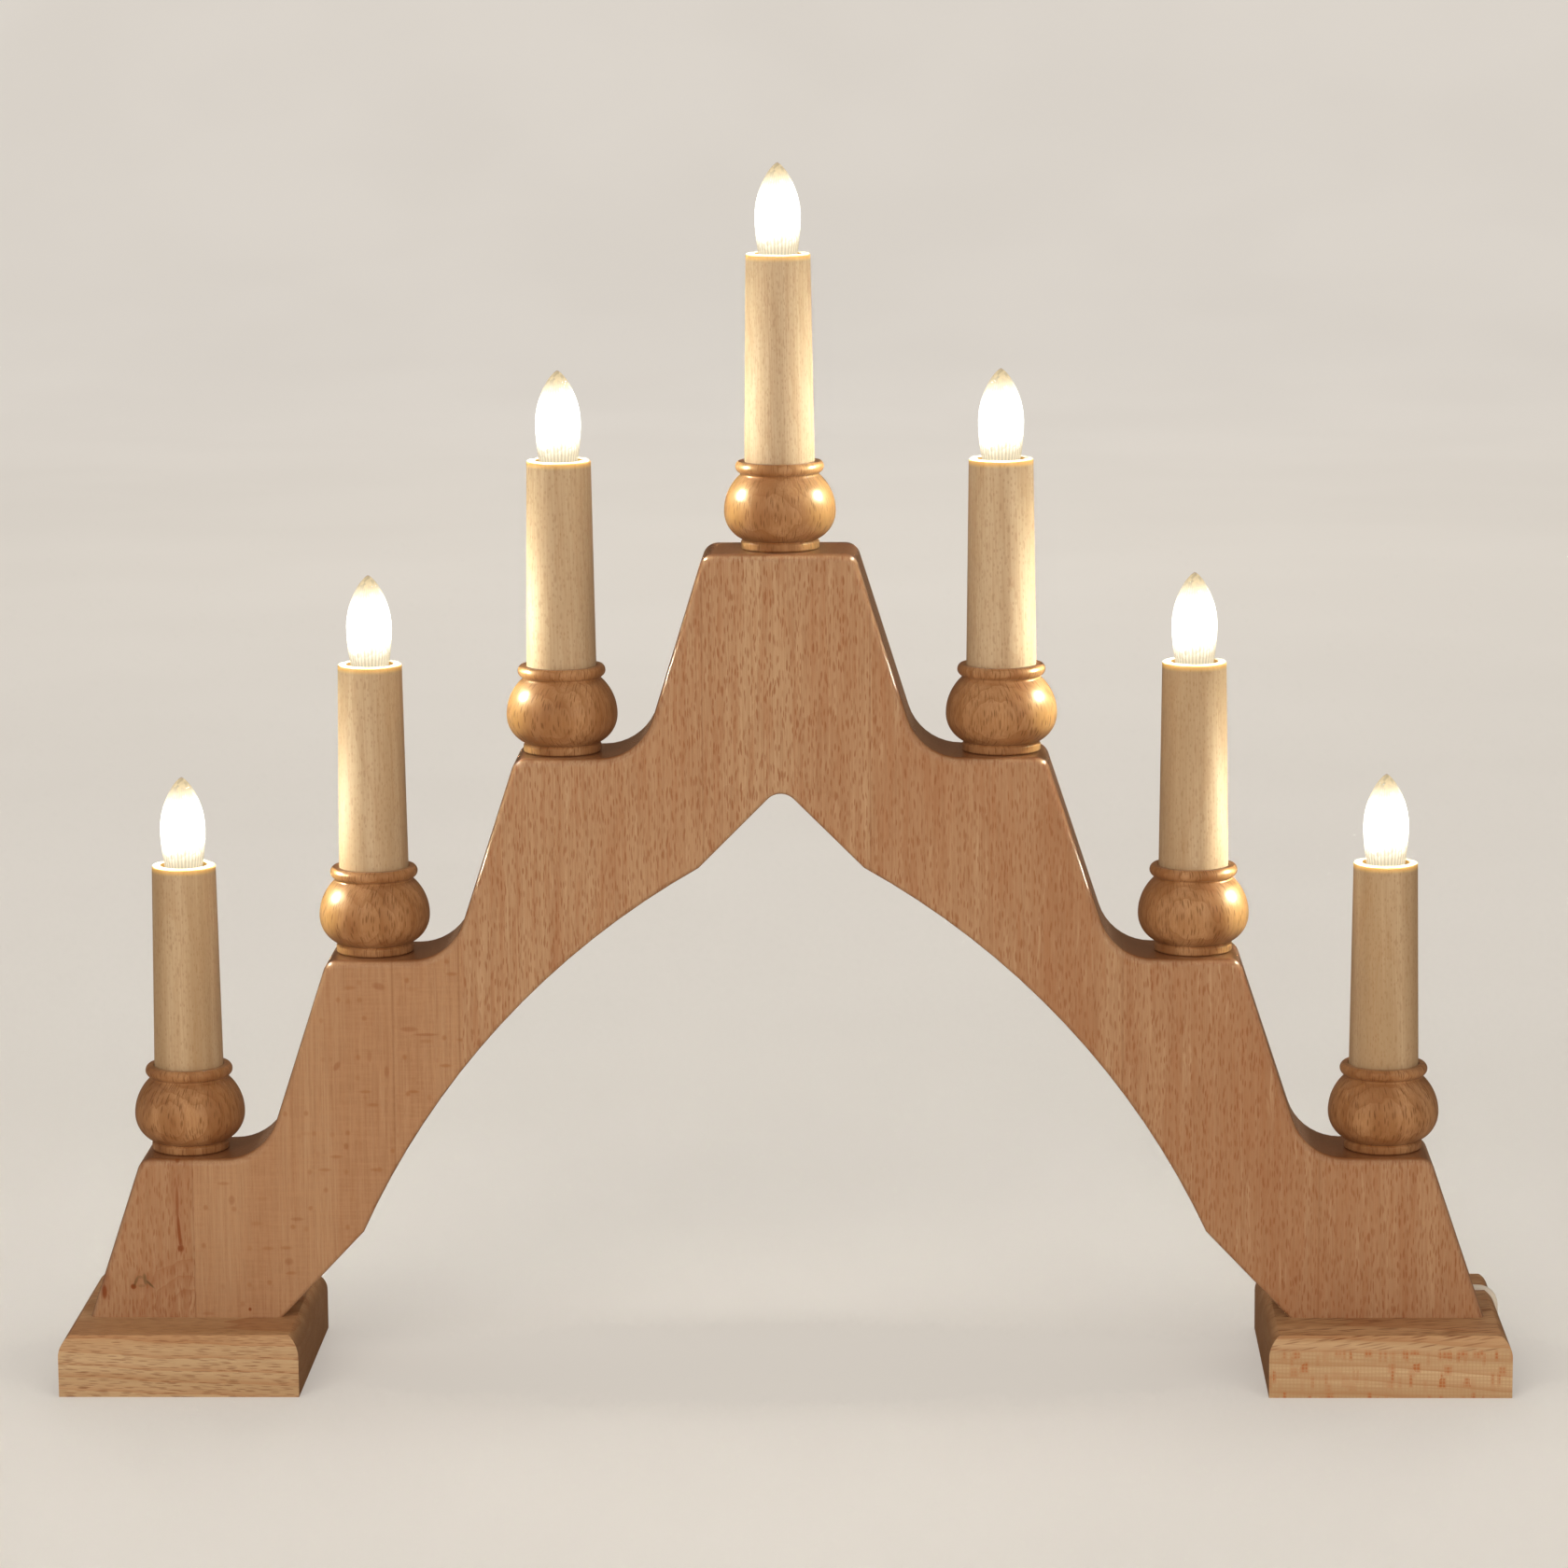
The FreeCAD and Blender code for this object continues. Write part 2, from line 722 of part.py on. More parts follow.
def mains_plug():
    """Flat two-pin plug with its sleeve, lying on the coil."""
    back = plug_sleeve_length
    outline = [(plug_back_width, back), (plug_width, back + plug_back_length),
               (plug_width, back + plug_length - plug_front_length), (plug_face_width, back + plug_length)]
    right = [vector(width / 2, place, -plug_thickness / 2) for width, place in outline]
    body = Part.Face(Part.Wire(lines_through(right + mirrored_points(right) + right[:1])))
    body = body.extrude(vector(0, 0, plug_thickness))
    body = body.makeFillet(plug_edge_radius, body.Edges)
    body = body.fuse(Part.makeCone(plug_sleeve_tip_radius, plug_sleeve_radius, back + plug_edge_radius,
                                   vector(0, 0, 0), vector(0, 1, 0)))
    body.translate(tail_route[-1])
    return body


def plug_pins():
    face = tail_route[-1] + vector(0, plug_sleeve_length + plug_length, 0)
    pins = []
    for side in (-1, 1):
        pin = Part.makeCylinder(plug_pin_radius, plug_pin_length, face, vector(0, 1, 0))
        tip = [edge for edge in pin.Edges if edge.CenterOfMass.y > face.y + plug_pin_length - tolerance]
        pin = pin.makeFillet(plug_pin_edge_radius, tip)
        pins.append(pin.translate(vector(side * plug_pin_spacing / 2, 0, 0)))
    return Part.makeCompound(pins)


def report_lead(name, route):
    radii = route_radii(route)
    length = sum(edge.Length for edge in route_edges(route))
    print(name, "length", round(length, 1), "radii", [round(radius, 1) for radius in radii])
    return length


def report_volume(name, shape, section, length):
    print(name, "volume", round(shape.Volume, 1), "section by length", round(section * length, 1))


shapes = {
    "arch_board": arch_board(),
    "left_foot": foot(-1),
    "right_foot": foot(1),
    "foot_screws": foot_screws(),
    "series_wiring": series_wiring(),
    "lead_sleeve": sleeve(0),
    "mains_lead": lead_tube(lead_route, lead_radius),
    "lead_coil": tube_along(coil_edges(), lead_radius, lead_route[-1], vector(-1, 0, 0), coil_sides),
    "lead_tail": lead_tube(tail_route, lead_radius),
    "mains_plug": mains_plug(),
    "plug_pins": plug_pins(),
}
for number, (place, height) in enumerate(candles, start=1):
    shapes[f"candle_cup_{number}"] = placed(candle_cup(), place, height)
    shapes[f"candle_tube_{number}"] = placed(candle_tube(), place, height)
    seat = height + holder_seat
    shapes[f"lamp_holder_{number}"] = placed(lamp_holder(), place, seat)
    shapes[f"bulb_contact_{number}"] = placed(bulb_contact(), place, seat)
    shapes[f"bulb_cap_{number}"] = placed(bulb_cap(), place, seat)
    shapes[f"bulb_glass_{number}"] = placed(bulb_glass(), place, seat)
    shapes[f"bulb_filament_{number}"] = placed(bulb_filament(), place, seat)

round_section = math.pi * lead_radius ** 2
coil_section = coil_sides / 2 * lead_radius ** 2 * math.sin(math.tau / coil_sides)
coil_length = sum(edge.Length for edge in coil_edges())
lead_length = report_lead("mains_lead", lead_route)
tail_length = report_lead("lead_tail", tail_route)
report_volume("mains_lead", shapes["mains_lead"], round_section, lead_length)
report_volume("lead_tail", shapes["lead_tail"], round_section, tail_length)
report_volume("lead_coil", shapes["lead_coil"], coil_section, coil_length)
print("lead length in all", round(lead_length + tail_length + coil_length, 1))
print("coil's least gap to itself", round(least_self_gap(coil_edges()), 2))

os.makedirs("parts", exist_ok=True)
for name, shape in shapes.items():
    if len(shape.Solids) == 1:
        shape = shape.Solids[0]
    shape.exportStep(f"parts/{name}.step")
    print(name, shape.ShapeType, len(shape.Solids), "valid", shape.isValid(), "volume", round(shape.Volume, 1))
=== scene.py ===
"""Looks of the electric candle arch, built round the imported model.

X runs along the arch, Y to its back and Z up, from the floor under the arch's middle. Objects are in
metres. Materials, the bulb and the lead are worked out in millimetres.
"""

import math

import bmesh
import bpy
from mathutils import Matrix, Vector


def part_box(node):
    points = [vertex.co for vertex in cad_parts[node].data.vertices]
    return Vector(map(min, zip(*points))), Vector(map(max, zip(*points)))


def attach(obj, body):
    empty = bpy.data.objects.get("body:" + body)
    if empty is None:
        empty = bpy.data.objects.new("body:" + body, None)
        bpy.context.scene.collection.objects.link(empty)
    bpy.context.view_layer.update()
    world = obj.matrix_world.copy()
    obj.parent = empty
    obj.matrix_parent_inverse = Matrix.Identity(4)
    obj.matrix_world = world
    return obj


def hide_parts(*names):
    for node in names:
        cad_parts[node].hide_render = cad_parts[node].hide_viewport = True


MM = 0.001
CANDLES = range(1, 8)
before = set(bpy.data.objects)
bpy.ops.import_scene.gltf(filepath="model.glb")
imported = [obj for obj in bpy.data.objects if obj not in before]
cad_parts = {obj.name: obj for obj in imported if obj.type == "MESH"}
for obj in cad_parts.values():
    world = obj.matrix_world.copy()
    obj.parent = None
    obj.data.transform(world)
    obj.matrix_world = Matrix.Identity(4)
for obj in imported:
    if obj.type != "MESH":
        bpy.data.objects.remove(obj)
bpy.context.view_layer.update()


def colour(red, green, blue):
    """Linear colour from the 0 to 255 values that a picture shows."""
    linear = []
    for value in (red, green, blue):
        share = value / 255
        linear.append(share / 12.92 if share <= 0.04045 else ((share + 0.055) / 1.055) ** 2.4)
    return (*linear, 1.0)


def dimmed(tone, share):
    """Linear colour brought down to a share of itself."""
    return tuple(value * share for value in tone[:3]) + (1.0,)


def add(name, data):
    """New object in the scene."""
    made = bpy.data.objects.new(name, data)
    bpy.context.scene.collection.objects.link(made)
    return made


# Camera, solved from the outlines of the feet, the steps, the cups and the tubes
camera_place = Vector((55.4, -1766.0, 495.5)) * MM
camera_turn = math.radians(1.776)
camera_tilt = math.radians(90 - 9.620)
camera_roll = math.radians(-0.447)
camera_lens = 125.26
camera_sensor = 36
camera_near, camera_far = 0.05, 30


def make_camera():
    data = bpy.data.cameras.new("camera")
    data.lens = camera_lens
    data.sensor_width = camera_sensor
    data.clip_start = camera_near
    data.clip_end = camera_far
    camera = add("camera", data)
    turn = Matrix.Rotation(camera_turn, 4, "Z") @ Matrix.Rotation(camera_tilt, 4, "X")
    camera.matrix_world = Matrix.Translation(camera_place) @ turn @ Matrix.Rotation(camera_roll, 4, "Z")
    bpy.context.scene.camera = camera


# Node graphs


class Graph:
    """A material's node tree, with a short call for each kind of node that is used here."""

    def __init__(self, name):
        self.material = bpy.data.materials.new(name)
        self.material.use_nodes = True
        self.nodes = self.material.node_tree.nodes
        self.links = self.material.node_tree.links
        self.nodes.clear()

    def node(self, kind, inputs=(), **settings):
        made = self.nodes.new("ShaderNode" + kind)
        for key, value in settings.items():
            setattr(made, key, value)
        for key, value in dict(inputs).items():
            self.feed(made.inputs[key], value)
        return made

    def feed(self, socket, value):
        if isinstance(value, bpy.types.NodeSocket):
            self.links.new(value, socket)
        elif value is not None:
            socket.default_value = value

    def maths(self, operation, *values):
        return self.node("Math", enumerate(values), operation=operation).outputs[0]

    def vectors(self, operation, *values):
        return self.node("VectorMath", enumerate(values), operation=operation).outputs[0]

    def chain(self, operation, first, *others):
        for other in others:
            first = self.maths(operation, first, other)
        return first

    def product(self, *values):
        return self.chain("MULTIPLY", *values)

    def total(self, *values):
        return self.chain("ADD", *values)

    def most(self, *values):
        return self.chain("MAXIMUM", *values)

    def less(self, first, second):
        return self.maths("SUBTRACT", first, second)

    def place(self):
        """Place in the part's own frame, in millimetres."""
        return self.vectors("MULTIPLY", self.node("TexCoord").outputs["Object"], (1 / MM, 1 / MM, 1 / MM))

    def split(self, vector):
        return tuple(self.node("SeparateXYZ", {"Vector": vector}).outputs)

    def join(self, x, y, z):
        return self.node("CombineXYZ", {"X": x, "Y": y, "Z": z}).outputs[0]

    def normal(self):
        return self.node("NewGeometry").outputs["Normal"]

    def facing(self):
        """Size of the surface's own normal along each axis."""
        return self.split(self.vectors("ABSOLUTE", self.normal()))

    def rays(self, *kinds):
        """One for a ray of any of these kinds, and nothing for the rest."""
        outputs = self.node("LightPath").outputs
        return self.most(*[outputs[kind] for kind in kinds])

    def noise(self, vector, scale=1.0, detail=2.0, roughness=0.5):
        inputs = {"Vector": vector, "Scale": scale, "Detail": detail, "Roughness": roughness}
        return self.node("TexNoise", inputs).outputs["Fac"]

    def noise_along(self, axes, scales, detail=2.0, roughness=0.5):
        """Noise drawn out by a scale of its own along each axis."""
        place = self.join(*[self.product(axis, scale) for axis, scale in zip(axes, scales)])
        return self.noise(place, 1.0, detail, roughness)

    def ramp(self, value, low, high, out_low=0.0, out_high=1.0, smooth=True):
        inputs = {"Value": value, "From Min": low, "From Max": high, "To Min": out_low, "To Max": out_high}
        kind = "SMOOTHSTEP" if smooth else "LINEAR"
        return self.node("MapRange", inputs, interpolation_type=kind).outputs[0]

    def mix(self, share, first, second, blend="MIX"):
        inputs = {0: share, 6: first, 7: second}
        return self.node("Mix", inputs, data_type="RGBA", blend_type=blend).outputs[2]

    def stained(self, base, *stains):
        """Base colour with stains laid over it in turn: where each lies, its strength and its colour."""
        for where, strength, tone in stains:
            base = self.mix(self.product(where, strength), base, colour(*tone))
        return base

    def bump(self, height, strength, distance):
        return self.node("Bump", {"Height": height, "Strength": strength, "Distance": distance}).outputs[0]

    def surface(self, base, roughness, normal, **settings):
        made = self.node("BsdfPrincipled", {"Base Color": base, "Roughness": roughness, "Normal": normal})
        for key, value in settings.items():
            self.feed(made.inputs[key.replace("_", " ").title().replace("Ior", "IOR")], value)
        return made.outputs[0]

    def finish(self, shader):
        self.node("OutputMaterial", {"Surface": shader})
        return self.material


def give(material, *nodes):
    """Puts a material on every face of these CAD nodes."""
    for name in nodes:
        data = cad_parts[name].data
        data.materials.clear()
        data.materials.append(material)
        for polygon in data.polygons:
            polygon.material_index = 0


# Wood. Colours run through the whole piece, and only the dashes, the end grain and the painted light and
# shade keep to its faces.

# Detail and roughness of fine noise, and scales of the grain's noise along it and across it
fine_texture = (3.0, 0.6)
fine_grain = (0.035, 2.1, *fine_texture)
broad_grain = (0.006, 0.11)
# Ranges of that noise that show as fine streaks, as broad bands and as gloss
streak_range = (0.35, 0.75)
band_range = (0.3, 0.7)
gloss_range = (0.2, 0.8)
# Range of a face's turn towards the grain's end over which its end grain shows, whose stain is partly
# painted shade
end_range = (0.6, 0.95)
waver_across = 2.5
ring_sharpness = 3.0
pore_core, faintest_pore = 0.45, 0.15
spot_core = 0.3
# Strength and depth to which the streaks and dashes of a wood are pressed into its surface
wood_relief = (0.40, 0.06 * MM)


def grain_noise(graph, along, across, depth, along_scale, across_scale, *texture):
    """Noise that is drawn out along the grain."""
    scales = (along_scale, across_scale, across_scale)
    return graph.noise_along((along, across, depth), scales, *texture)


def wood_fibres(graph, along, across, depth):
    """Fine streaks and broad bands that run with the grain."""
    return (grain_noise(graph, along, across, depth, *fine_grain),
            grain_noise(graph, along, across, depth, *broad_grain))


def waver(graph, along, across, depth, stretch, reach):
    """Slow drift that bends the growth rings, in millimetres."""
    return graph.product(grain_noise(graph, along, across, depth, stretch, stretch * waver_across), reach)


def surface_cells(graph, first, second, width, length, metric="EUCLIDEAN"):
    """Distance from the middle of each cell of a surface, and the chances of that cell."""
    place = graph.join(graph.maths("DIVIDE", first, width), graph.maths("DIVIDE", second, length), 0.0)
    inputs = {"Vector": place, "Scale": 1.0}
    made = graph.node("TexVoronoi", inputs, voronoi_dimensions="2D", distance=metric)
    return made.outputs["Distance"], graph.split(made.outputs["Color"])


def wood_dashes(graph, along, across, *kinds):
    """Short dark dashes along the grain. Each kind has a shift across it, a width, a length and a size."""
    made = []
    for shift, width, length, size in kinds:
        distance, chances = surface_cells(graph, graph.total(across, shift), along, width, length)
        strength = graph.ramp(distance, size * pore_core, size, 1.0, 0.0)
        made.append(graph.product(strength, graph.ramp(chances[0], 0.0, 1.0, faintest_pore, 1.0)))
    return graph.most(*made)


def wood_spots(graph, first, second, metric, *kinds):
    """Blots in some cells. Each kind has a shift, a width, a length, a size and a rarity."""
    made = []
    for shift, width, length, size, rarity in kinds:
        distance, chances = surface_cells(graph, graph.total(first, shift), second, width, length, metric)
        strength = graph.ramp(distance, size * spot_core, size, 1.0, 0.0)
        made.append(graph.product(strength, graph.ramp(chances[1], rarity, 1.0)))
    return graph.most(*made)


def radius_round(graph, first, second, centre_first, centre_second):
    """Distance from a centre in the plane of two axes."""
    aside, up = graph.less(first, centre_first), graph.less(second, centre_second)
    return graph.maths("SQRT", graph.total(graph.product(aside, aside), graph.product(up, up)))


def ring_lines(graph, radius, spacing, sharpness):
    """Rings at even spacing, each with a sharp outer edge."""
    return graph.maths("POWER", graph.maths("FRACT", graph.maths("DIVIDE", radius, spacing)), sharpness)


def wood_rings(graph, across, depth, wobble, centre_across, centre_depth, spacing):
    """Growth rings round a pith that lies along the grain."""
    radius = graph.total(radius_round(graph, across, depth, centre_across, centre_depth), wobble)
    return ring_lines(graph, radius, spacing, ring_sharpness)


def wood_ground(graph, broad, darker, paler):
    """Ground colour of a wood, between two tones along its broad bands."""
    return graph.mix(graph.ramp(broad, *band_range), colour(*darker), colour(*paler))


def wood_surface(graph, base, fine, dashes, roughness, relief, **settings):
    """Finished wood, whose dashes are pressed in and whose roughness changes with its streaks."""
    roughness = graph.ramp(fine, *gloss_range, *roughness)
    normal = graph.bump(graph.less(fine, dashes), *relief)
    return graph.finish(graph.surface(base, roughness, normal, **settings))


# Staves of the board from left to right: left edge in millimetres, paleness, dashes, flecks,
# and the pith that the stave's growth rings run round, from its left edge and from mid-board
staves = [
    (-240.0, 0.36, 0.85, 0.10, 62.0, 30.0),
    (-195.4, 0.38, 0.15, 0.85, -150.0, 35.0),
    (-128.0, 0.33, 0.20, 1.00, -190.0, 10.0),
    (-106.0, 0.62, 0.90, 0.00, 60.0, -110.0),
    (-25.2, 0.60, 1.00, 0.00, 24.0, 160.0),
    (29.3, 0.44, 0.90, 0.00, 58.0, -75.0),
    (111.4, 0.26, 1.00, 0.00, 40.0, 120.0),
    (176.0, 0.14, 1.00, 0.05, 18.0, -95.0),
]
edge_column, paleness_column, dashes_column, flecks_column, pith_column, pith_depth_column = range(6)
# Upright bands that are paler or darker than their stave: place, half width, change of paleness
board_bands = [
    (-199.5, 5.0, -0.12),
    (-4.0, 14.0, 0.24),
    (20.0, 10.0, -0.20),
    (94.0, 14.0, -0.20),
    (164.0, 9.0, -0.14),
    (199.5, 6.0, 0.12),
    (214.0, 12.0, 0.16),
]
board_left, board_right = -240.0, 240.0
board_front = (-14.0, -10.0)
pith_reach = 200.0
stave_shift = 3.7
glue_line = (0.10, 0.40)
turned_face = 0.7
# Range of a face's turn sideways over which the board's flanks get painted shade
flank_shade_range = (0.75, 0.95)
paleness_range = (-0.2, 1.2)
band_paleness = 0.16
calmed_by_flecks = 0.6
board_roughness = (0.30, 0.40)
# Figure of the board: its dashes and flecks in rows, and the scales and ranges of its noises
board_dashes = [(0.0, 0.88, 5.0, 0.32), (40.3, 1.4, 9.0, 0.26)]
board_flecks = [(0.0, 5.6, 6.4, 0.20, 0.62), (17.0, 15.0, 4.4, 0.19, 0.6)]
board_waver, board_ring_spacing = (0.012, 9.0), 2.9
drift_scales, drift_reach = (0.2, 1.0, 0.06), 2.4
weave_scales, weave_range = [(0.10, 1.0, 1.3), (1.2, 1.0, 0.09)], (0.85, 1.25)
streak_scales = (0.62, 1.0, 0.035)
dark_streaks, pale_streaks = (0.48, 0.68), (0.26, 0.44, 1.0, 0.0)


def stave_value(graph, x, column, low=0.0, high=1.0):
    """A stave's own value between a low and a high, looked up by the place along the arch."""
    share = graph.ramp(x, board_left, board_right, smooth=False)
    made = graph.node("ValToRGB", {"Fac": share})
    ramp = made.color_ramp
    ramp.interpolation = "CONSTANT"
    while len(ramp.elements) < len(staves):
        ramp.elements.new(1.0)
    for element, stave in zip(ramp.elements, staves):
        element.position = (stave[edge_column] - board_left) / (board_right - board_left)
        grey = (stave[column] - low) / (high - low)
        element.color = (grey, grey, grey, 1.0)
    return graph.ramp(graph.split(made.outputs["Color"])[0], 0.0, 1.0, low, high, smooth=False)


def stave_paleness(graph, x):
    """Paleness of the stave, changed inside its paler and darker bands."""
    total = stave_value(graph, x, paleness_column)
    for place, half_width, change in board_bands:
        distance = graph.maths("ABSOLUTE", graph.less(x, place))
        total = graph.total(total, graph.ramp(distance, half_width * 0.5, half_width, change, 0.0))
    return total


def stave_edge(graph, x):
    """One on the thin glue line at each joint between staves, and nothing elsewhere."""
    distances = [graph.maths("ABSOLUTE", graph.less(x, stave[edge_column])) for stave in staves[1:]]
    return graph.ramp(graph.chain("MINIMUM", *distances), *glue_line, 1.0, 0.0)


# Marks on the board's front: place along the arch, height, half width, half height, lean, depth of tone
knot_marks = [
    (-215.0, 32.4, 0.7, 2.4, -0.40, 0.55),
    (-212.0, 33.0, 0.8, 2.6, 0.12, 0.60),
    (-210.6, 31.6, 0.7, 2.0, 0.95, 0.75),
    (-213.6, 33.8, 1.4, 0.7, 0.30, 0.35),
    (-213.2, 30.8, 1.6, 0.7, 0.0, 0.30),
]
board_marks = [
    (-215.9, 30.6, 1.3, 1.2, 0.0, 1.00),
    (-200.3, 73.4, 1.0, 1.2, 0.0, 0.75),
    (-200.6, 59.0, 0.7, 9.0, 0.0, 0.70),
    (-200.2, 49.0, 0.8, 8.5, 0.07, 0.90),
    (-199.8, 43.6, 1.4, 1.6, 0.0, 0.90),
    (-200.6, 60.0, 3.0, 22.0, 0.0, 0.16),
    (-212.8, 32.4, 5.4, 4.6, 0.0, 0.16),
    (-225.6, 28.8, 1.3, 3.4, 0.0, 0.95),
    (-225.0, 31.0, 2.6, 7.0, 0.0, 0.40),
    (-177.3, 22.8, 0.7, 0.8, 0.0, 0.90),
    (-182.5, 60.0, 1.4, 2.0, 0.0, 0.33),
    (-160.9, 53.5, 2.8, 0.8, 0.0, 0.33),
    (-164.0, 39.1, 1.8, 1.6, 0.0, 0.32),
    (-146.7, 105.2, 1.3, 2.0, -0.4, 0.40),
    (-130.3, 103.3, 1.0, 2.6, 0.0, 0.37),
    (-135.8, 108.6, 0.8, 2.6, 0.0, 0.30),
    (-132.4, 132.0, 2.6, 1.6, 0.5, 0.37),
    (-122.7, 117.6, 3.6, 1.1, 0.0, 0.36),
    (-117.1, 115.8, 5.2, 0.6, 0.0, 0.40),
    (-144.2, 78.2, 1.1, 1.4, 0.0, 0.37),
]
mark_core = 0.10


def mark_tone(graph, x, z, marks):
    """Depth of tone of the board's single marks, each a small oval that may lean."""
    tones = []
    for place_x, place_z, width, height, lean, depth in marks:
        up = graph.less(z, place_z)
        aside = graph.less(x, place_x)
        if lean:
            aside = graph.total(aside, graph.product(up, lean))
        aside = graph.maths("DIVIDE", aside, width)
        up = graph.maths("DIVIDE", up, height)
        squares = graph.total(graph.product(aside, aside), graph.product(up, up))
        tones.append(graph.ramp(squares, mark_core, 1.0, depth, 0.0))
    return graph.most(*tones)


# Curved figure round the lower right corner of the left leg's outer stave, in millimetres
swirl_place = (-197.0, 23.0)
swirl_spacing, swirl_sharpness = 4.7, 2.5
swirl_drift, swirl_drift_scale = 5.0, 0.16
swirl_start, swirl_end = (3.0, 7.0), (17.0, 25.0)


def swirl(graph, x, z):
    drift = graph.product(graph.noise(graph.join(x, 0.0, z), swirl_drift_scale), swirl_drift)
    radius = graph.total(radius_round(graph, x, z, *swirl_place), drift)
    lines = ring_lines(graph, radius, swirl_spacing, swirl_sharpness)
    inside = graph.product(graph.ramp(radius, *swirl_start), graph.ramp(radius, *swirl_end, 1.0, 0.0))
    in_stave = graph.maths("LESS_THAN", x, staves[1][edge_column])
    return graph.product(lines, inside, in_stave)


def board_wood():
    graph = Graph("board_beech")
    x, y, z = graph.split(graph.place())
    sideways, _, upright = graph.facing()
    pith = stave_value(graph, x, pith_column, -pith_reach, pith_reach)
    pith_depth = stave_value(graph, x, pith_depth_column, -pith_reach, pith_reach)
    flecked = stave_value(graph, x, flecks_column)
    across = graph.total(x, graph.product(pith, stave_shift))
    turned = graph.maths("GREATER_THAN", sideways, turned_face)
    surface = graph.total(across, graph.product(turned, graph.less(y, x)))
    drift = graph.product(graph.noise_along((surface, 0.0, z), drift_scales), drift_reach)
    wandering = graph.total(surface, drift)
    end_grain_and_shade = graph.ramp(upright, *end_range)
    fine, broad = wood_fibres(graph, z, across, y)
    wobble = waver(graph, z, across, y, *board_waver)
    pith_place = graph.total(stave_value(graph, x, edge_column, board_left, board_right), pith)
    rings = wood_rings(graph, x, y, wobble, pith_place, pith_depth, board_ring_spacing)
    dashes = wood_dashes(graph, z, wandering, *board_dashes)
    dashes = graph.product(dashes, stave_value(graph, x, dashes_column), graph.less(1.0, end_grain_and_shade))
    flecks = wood_spots(graph, surface, z, "EUCLIDEAN", *board_flecks)
    weave = graph.total(*[graph.noise_along((across, y, z), scales) for scales in weave_scales])
    streaks = graph.noise_along((wandering, y, z), streak_scales, *fine_texture)
    streaked = graph.less(1.0, graph.product(flecked, calmed_by_flecks))
    front = graph.ramp(y, *board_front, 1.0, 0.0)
    bands = graph.ramp(broad, *band_range, -band_paleness, band_paleness)
    paleness = graph.ramp(graph.total(stave_paleness(graph, x), bands), *paleness_range, smooth=False)
    base = graph.mix(paleness, colour(161, 110, 75), colour(193, 158, 121))
    base = graph.stained(
        base,
        (graph.ramp(fine, *streak_range), 0.52, (149, 103, 70)),
        (graph.product(graph.ramp(streaks, *dark_streaks), streaked), 0.42, (160, 104, 68)),
        (graph.product(graph.ramp(streaks, *pale_streaks), streaked), 0.38, (200, 166, 129)),
        (rings, 0.18, (148, 96, 62)),
        (graph.product(graph.ramp(weave, *weave_range), flecked), 0.46, (182, 137, 99)),
        (dashes, 0.72, (140, 82, 48)),
        (graph.product(flecks, flecked), 0.55, (146, 86, 48)),
        (graph.product(swirl(graph, x, z), front), 0.52, (150, 92, 60)),
        (graph.product(mark_tone(graph, x, z, board_marks), front), 1.0, (128, 60, 26)),
        (graph.product(mark_tone(graph, x, z, knot_marks), front), 1.0, (84, 68, 40)),
        (stave_edge(graph, x), 0.34, (130, 84, 54)),
        # End grain of the step tops, darker partly for real and partly as painted shade
        (end_grain_and_shade, 0.74, (122, 68, 31)),
        # Painted shade on the board's flanks that face sideways
        (graph.ramp(sideways, *flank_shade_range), 0.62, (108, 70, 44)),
    )
    return wood_surface(graph, base, fine, dashes, board_roughness, wood_relief, coat_weight=1.0,
                        coat_ior=1.65, coat_roughness=0.15, specular_tint=colour(255, 220, 160))


# Feet, with the ranges of a face's turn to the front over which the front's figure and the painted shade of
# the top and bevel show
foot_place = 198.5
front_range, top_shade_range = (0.93, 0.99), (0.62, 1.0)
foot_roughness = (0.40, 0.50)
foot_slope = 0.05
foot_waver, foot_pith, foot_ring_spacing = (0.014, 8.0), (-20.0, 95.0), 4.4
# Kinds of stroke: shift, shares of the foot's own stroke width and length, and size
foot_strokes = [(0.0, 1.0, 1.0, 0.34), (31.7, 1.6, 2.2, 0.22)]
foot_flecks = [(0.0, 4.2, 5.4, 0.44, 0.25), (9.0, 2.0, 8.0, 0.40, 0.25)]
fleck_range = (0.02, 0.80)
grid_scale, grid_range = 5.2, (-1.0, 0.2, 0.45, 1.0)
cluster_scales, cluster_range = (0.11, 1.0, 0.05), (0.34, 0.56, 0.30, 1.0)
left_foot_figure = {"middle": -foot_place, "slant": 0.03, "stroke_width": 0.62, "stroke_length": 6.5,
                    "stroke_depth": 0.66, "dashed_front": 1.0, "flecked_front": 0.0}
right_foot_figure = {"middle": foot_place, "slant": -0.26, "stroke_width": 1.3, "stroke_length": 11.0,
                     "stroke_depth": 0.95, "dashed_front": 0.0, "flecked_front": 1.0}


def fleck_lines(graph, place):
    """Even lines that cut the quartered front's blots into squares."""
    return graph.ramp(graph.maths("SINE", graph.product(place, grid_scale)), *grid_range)


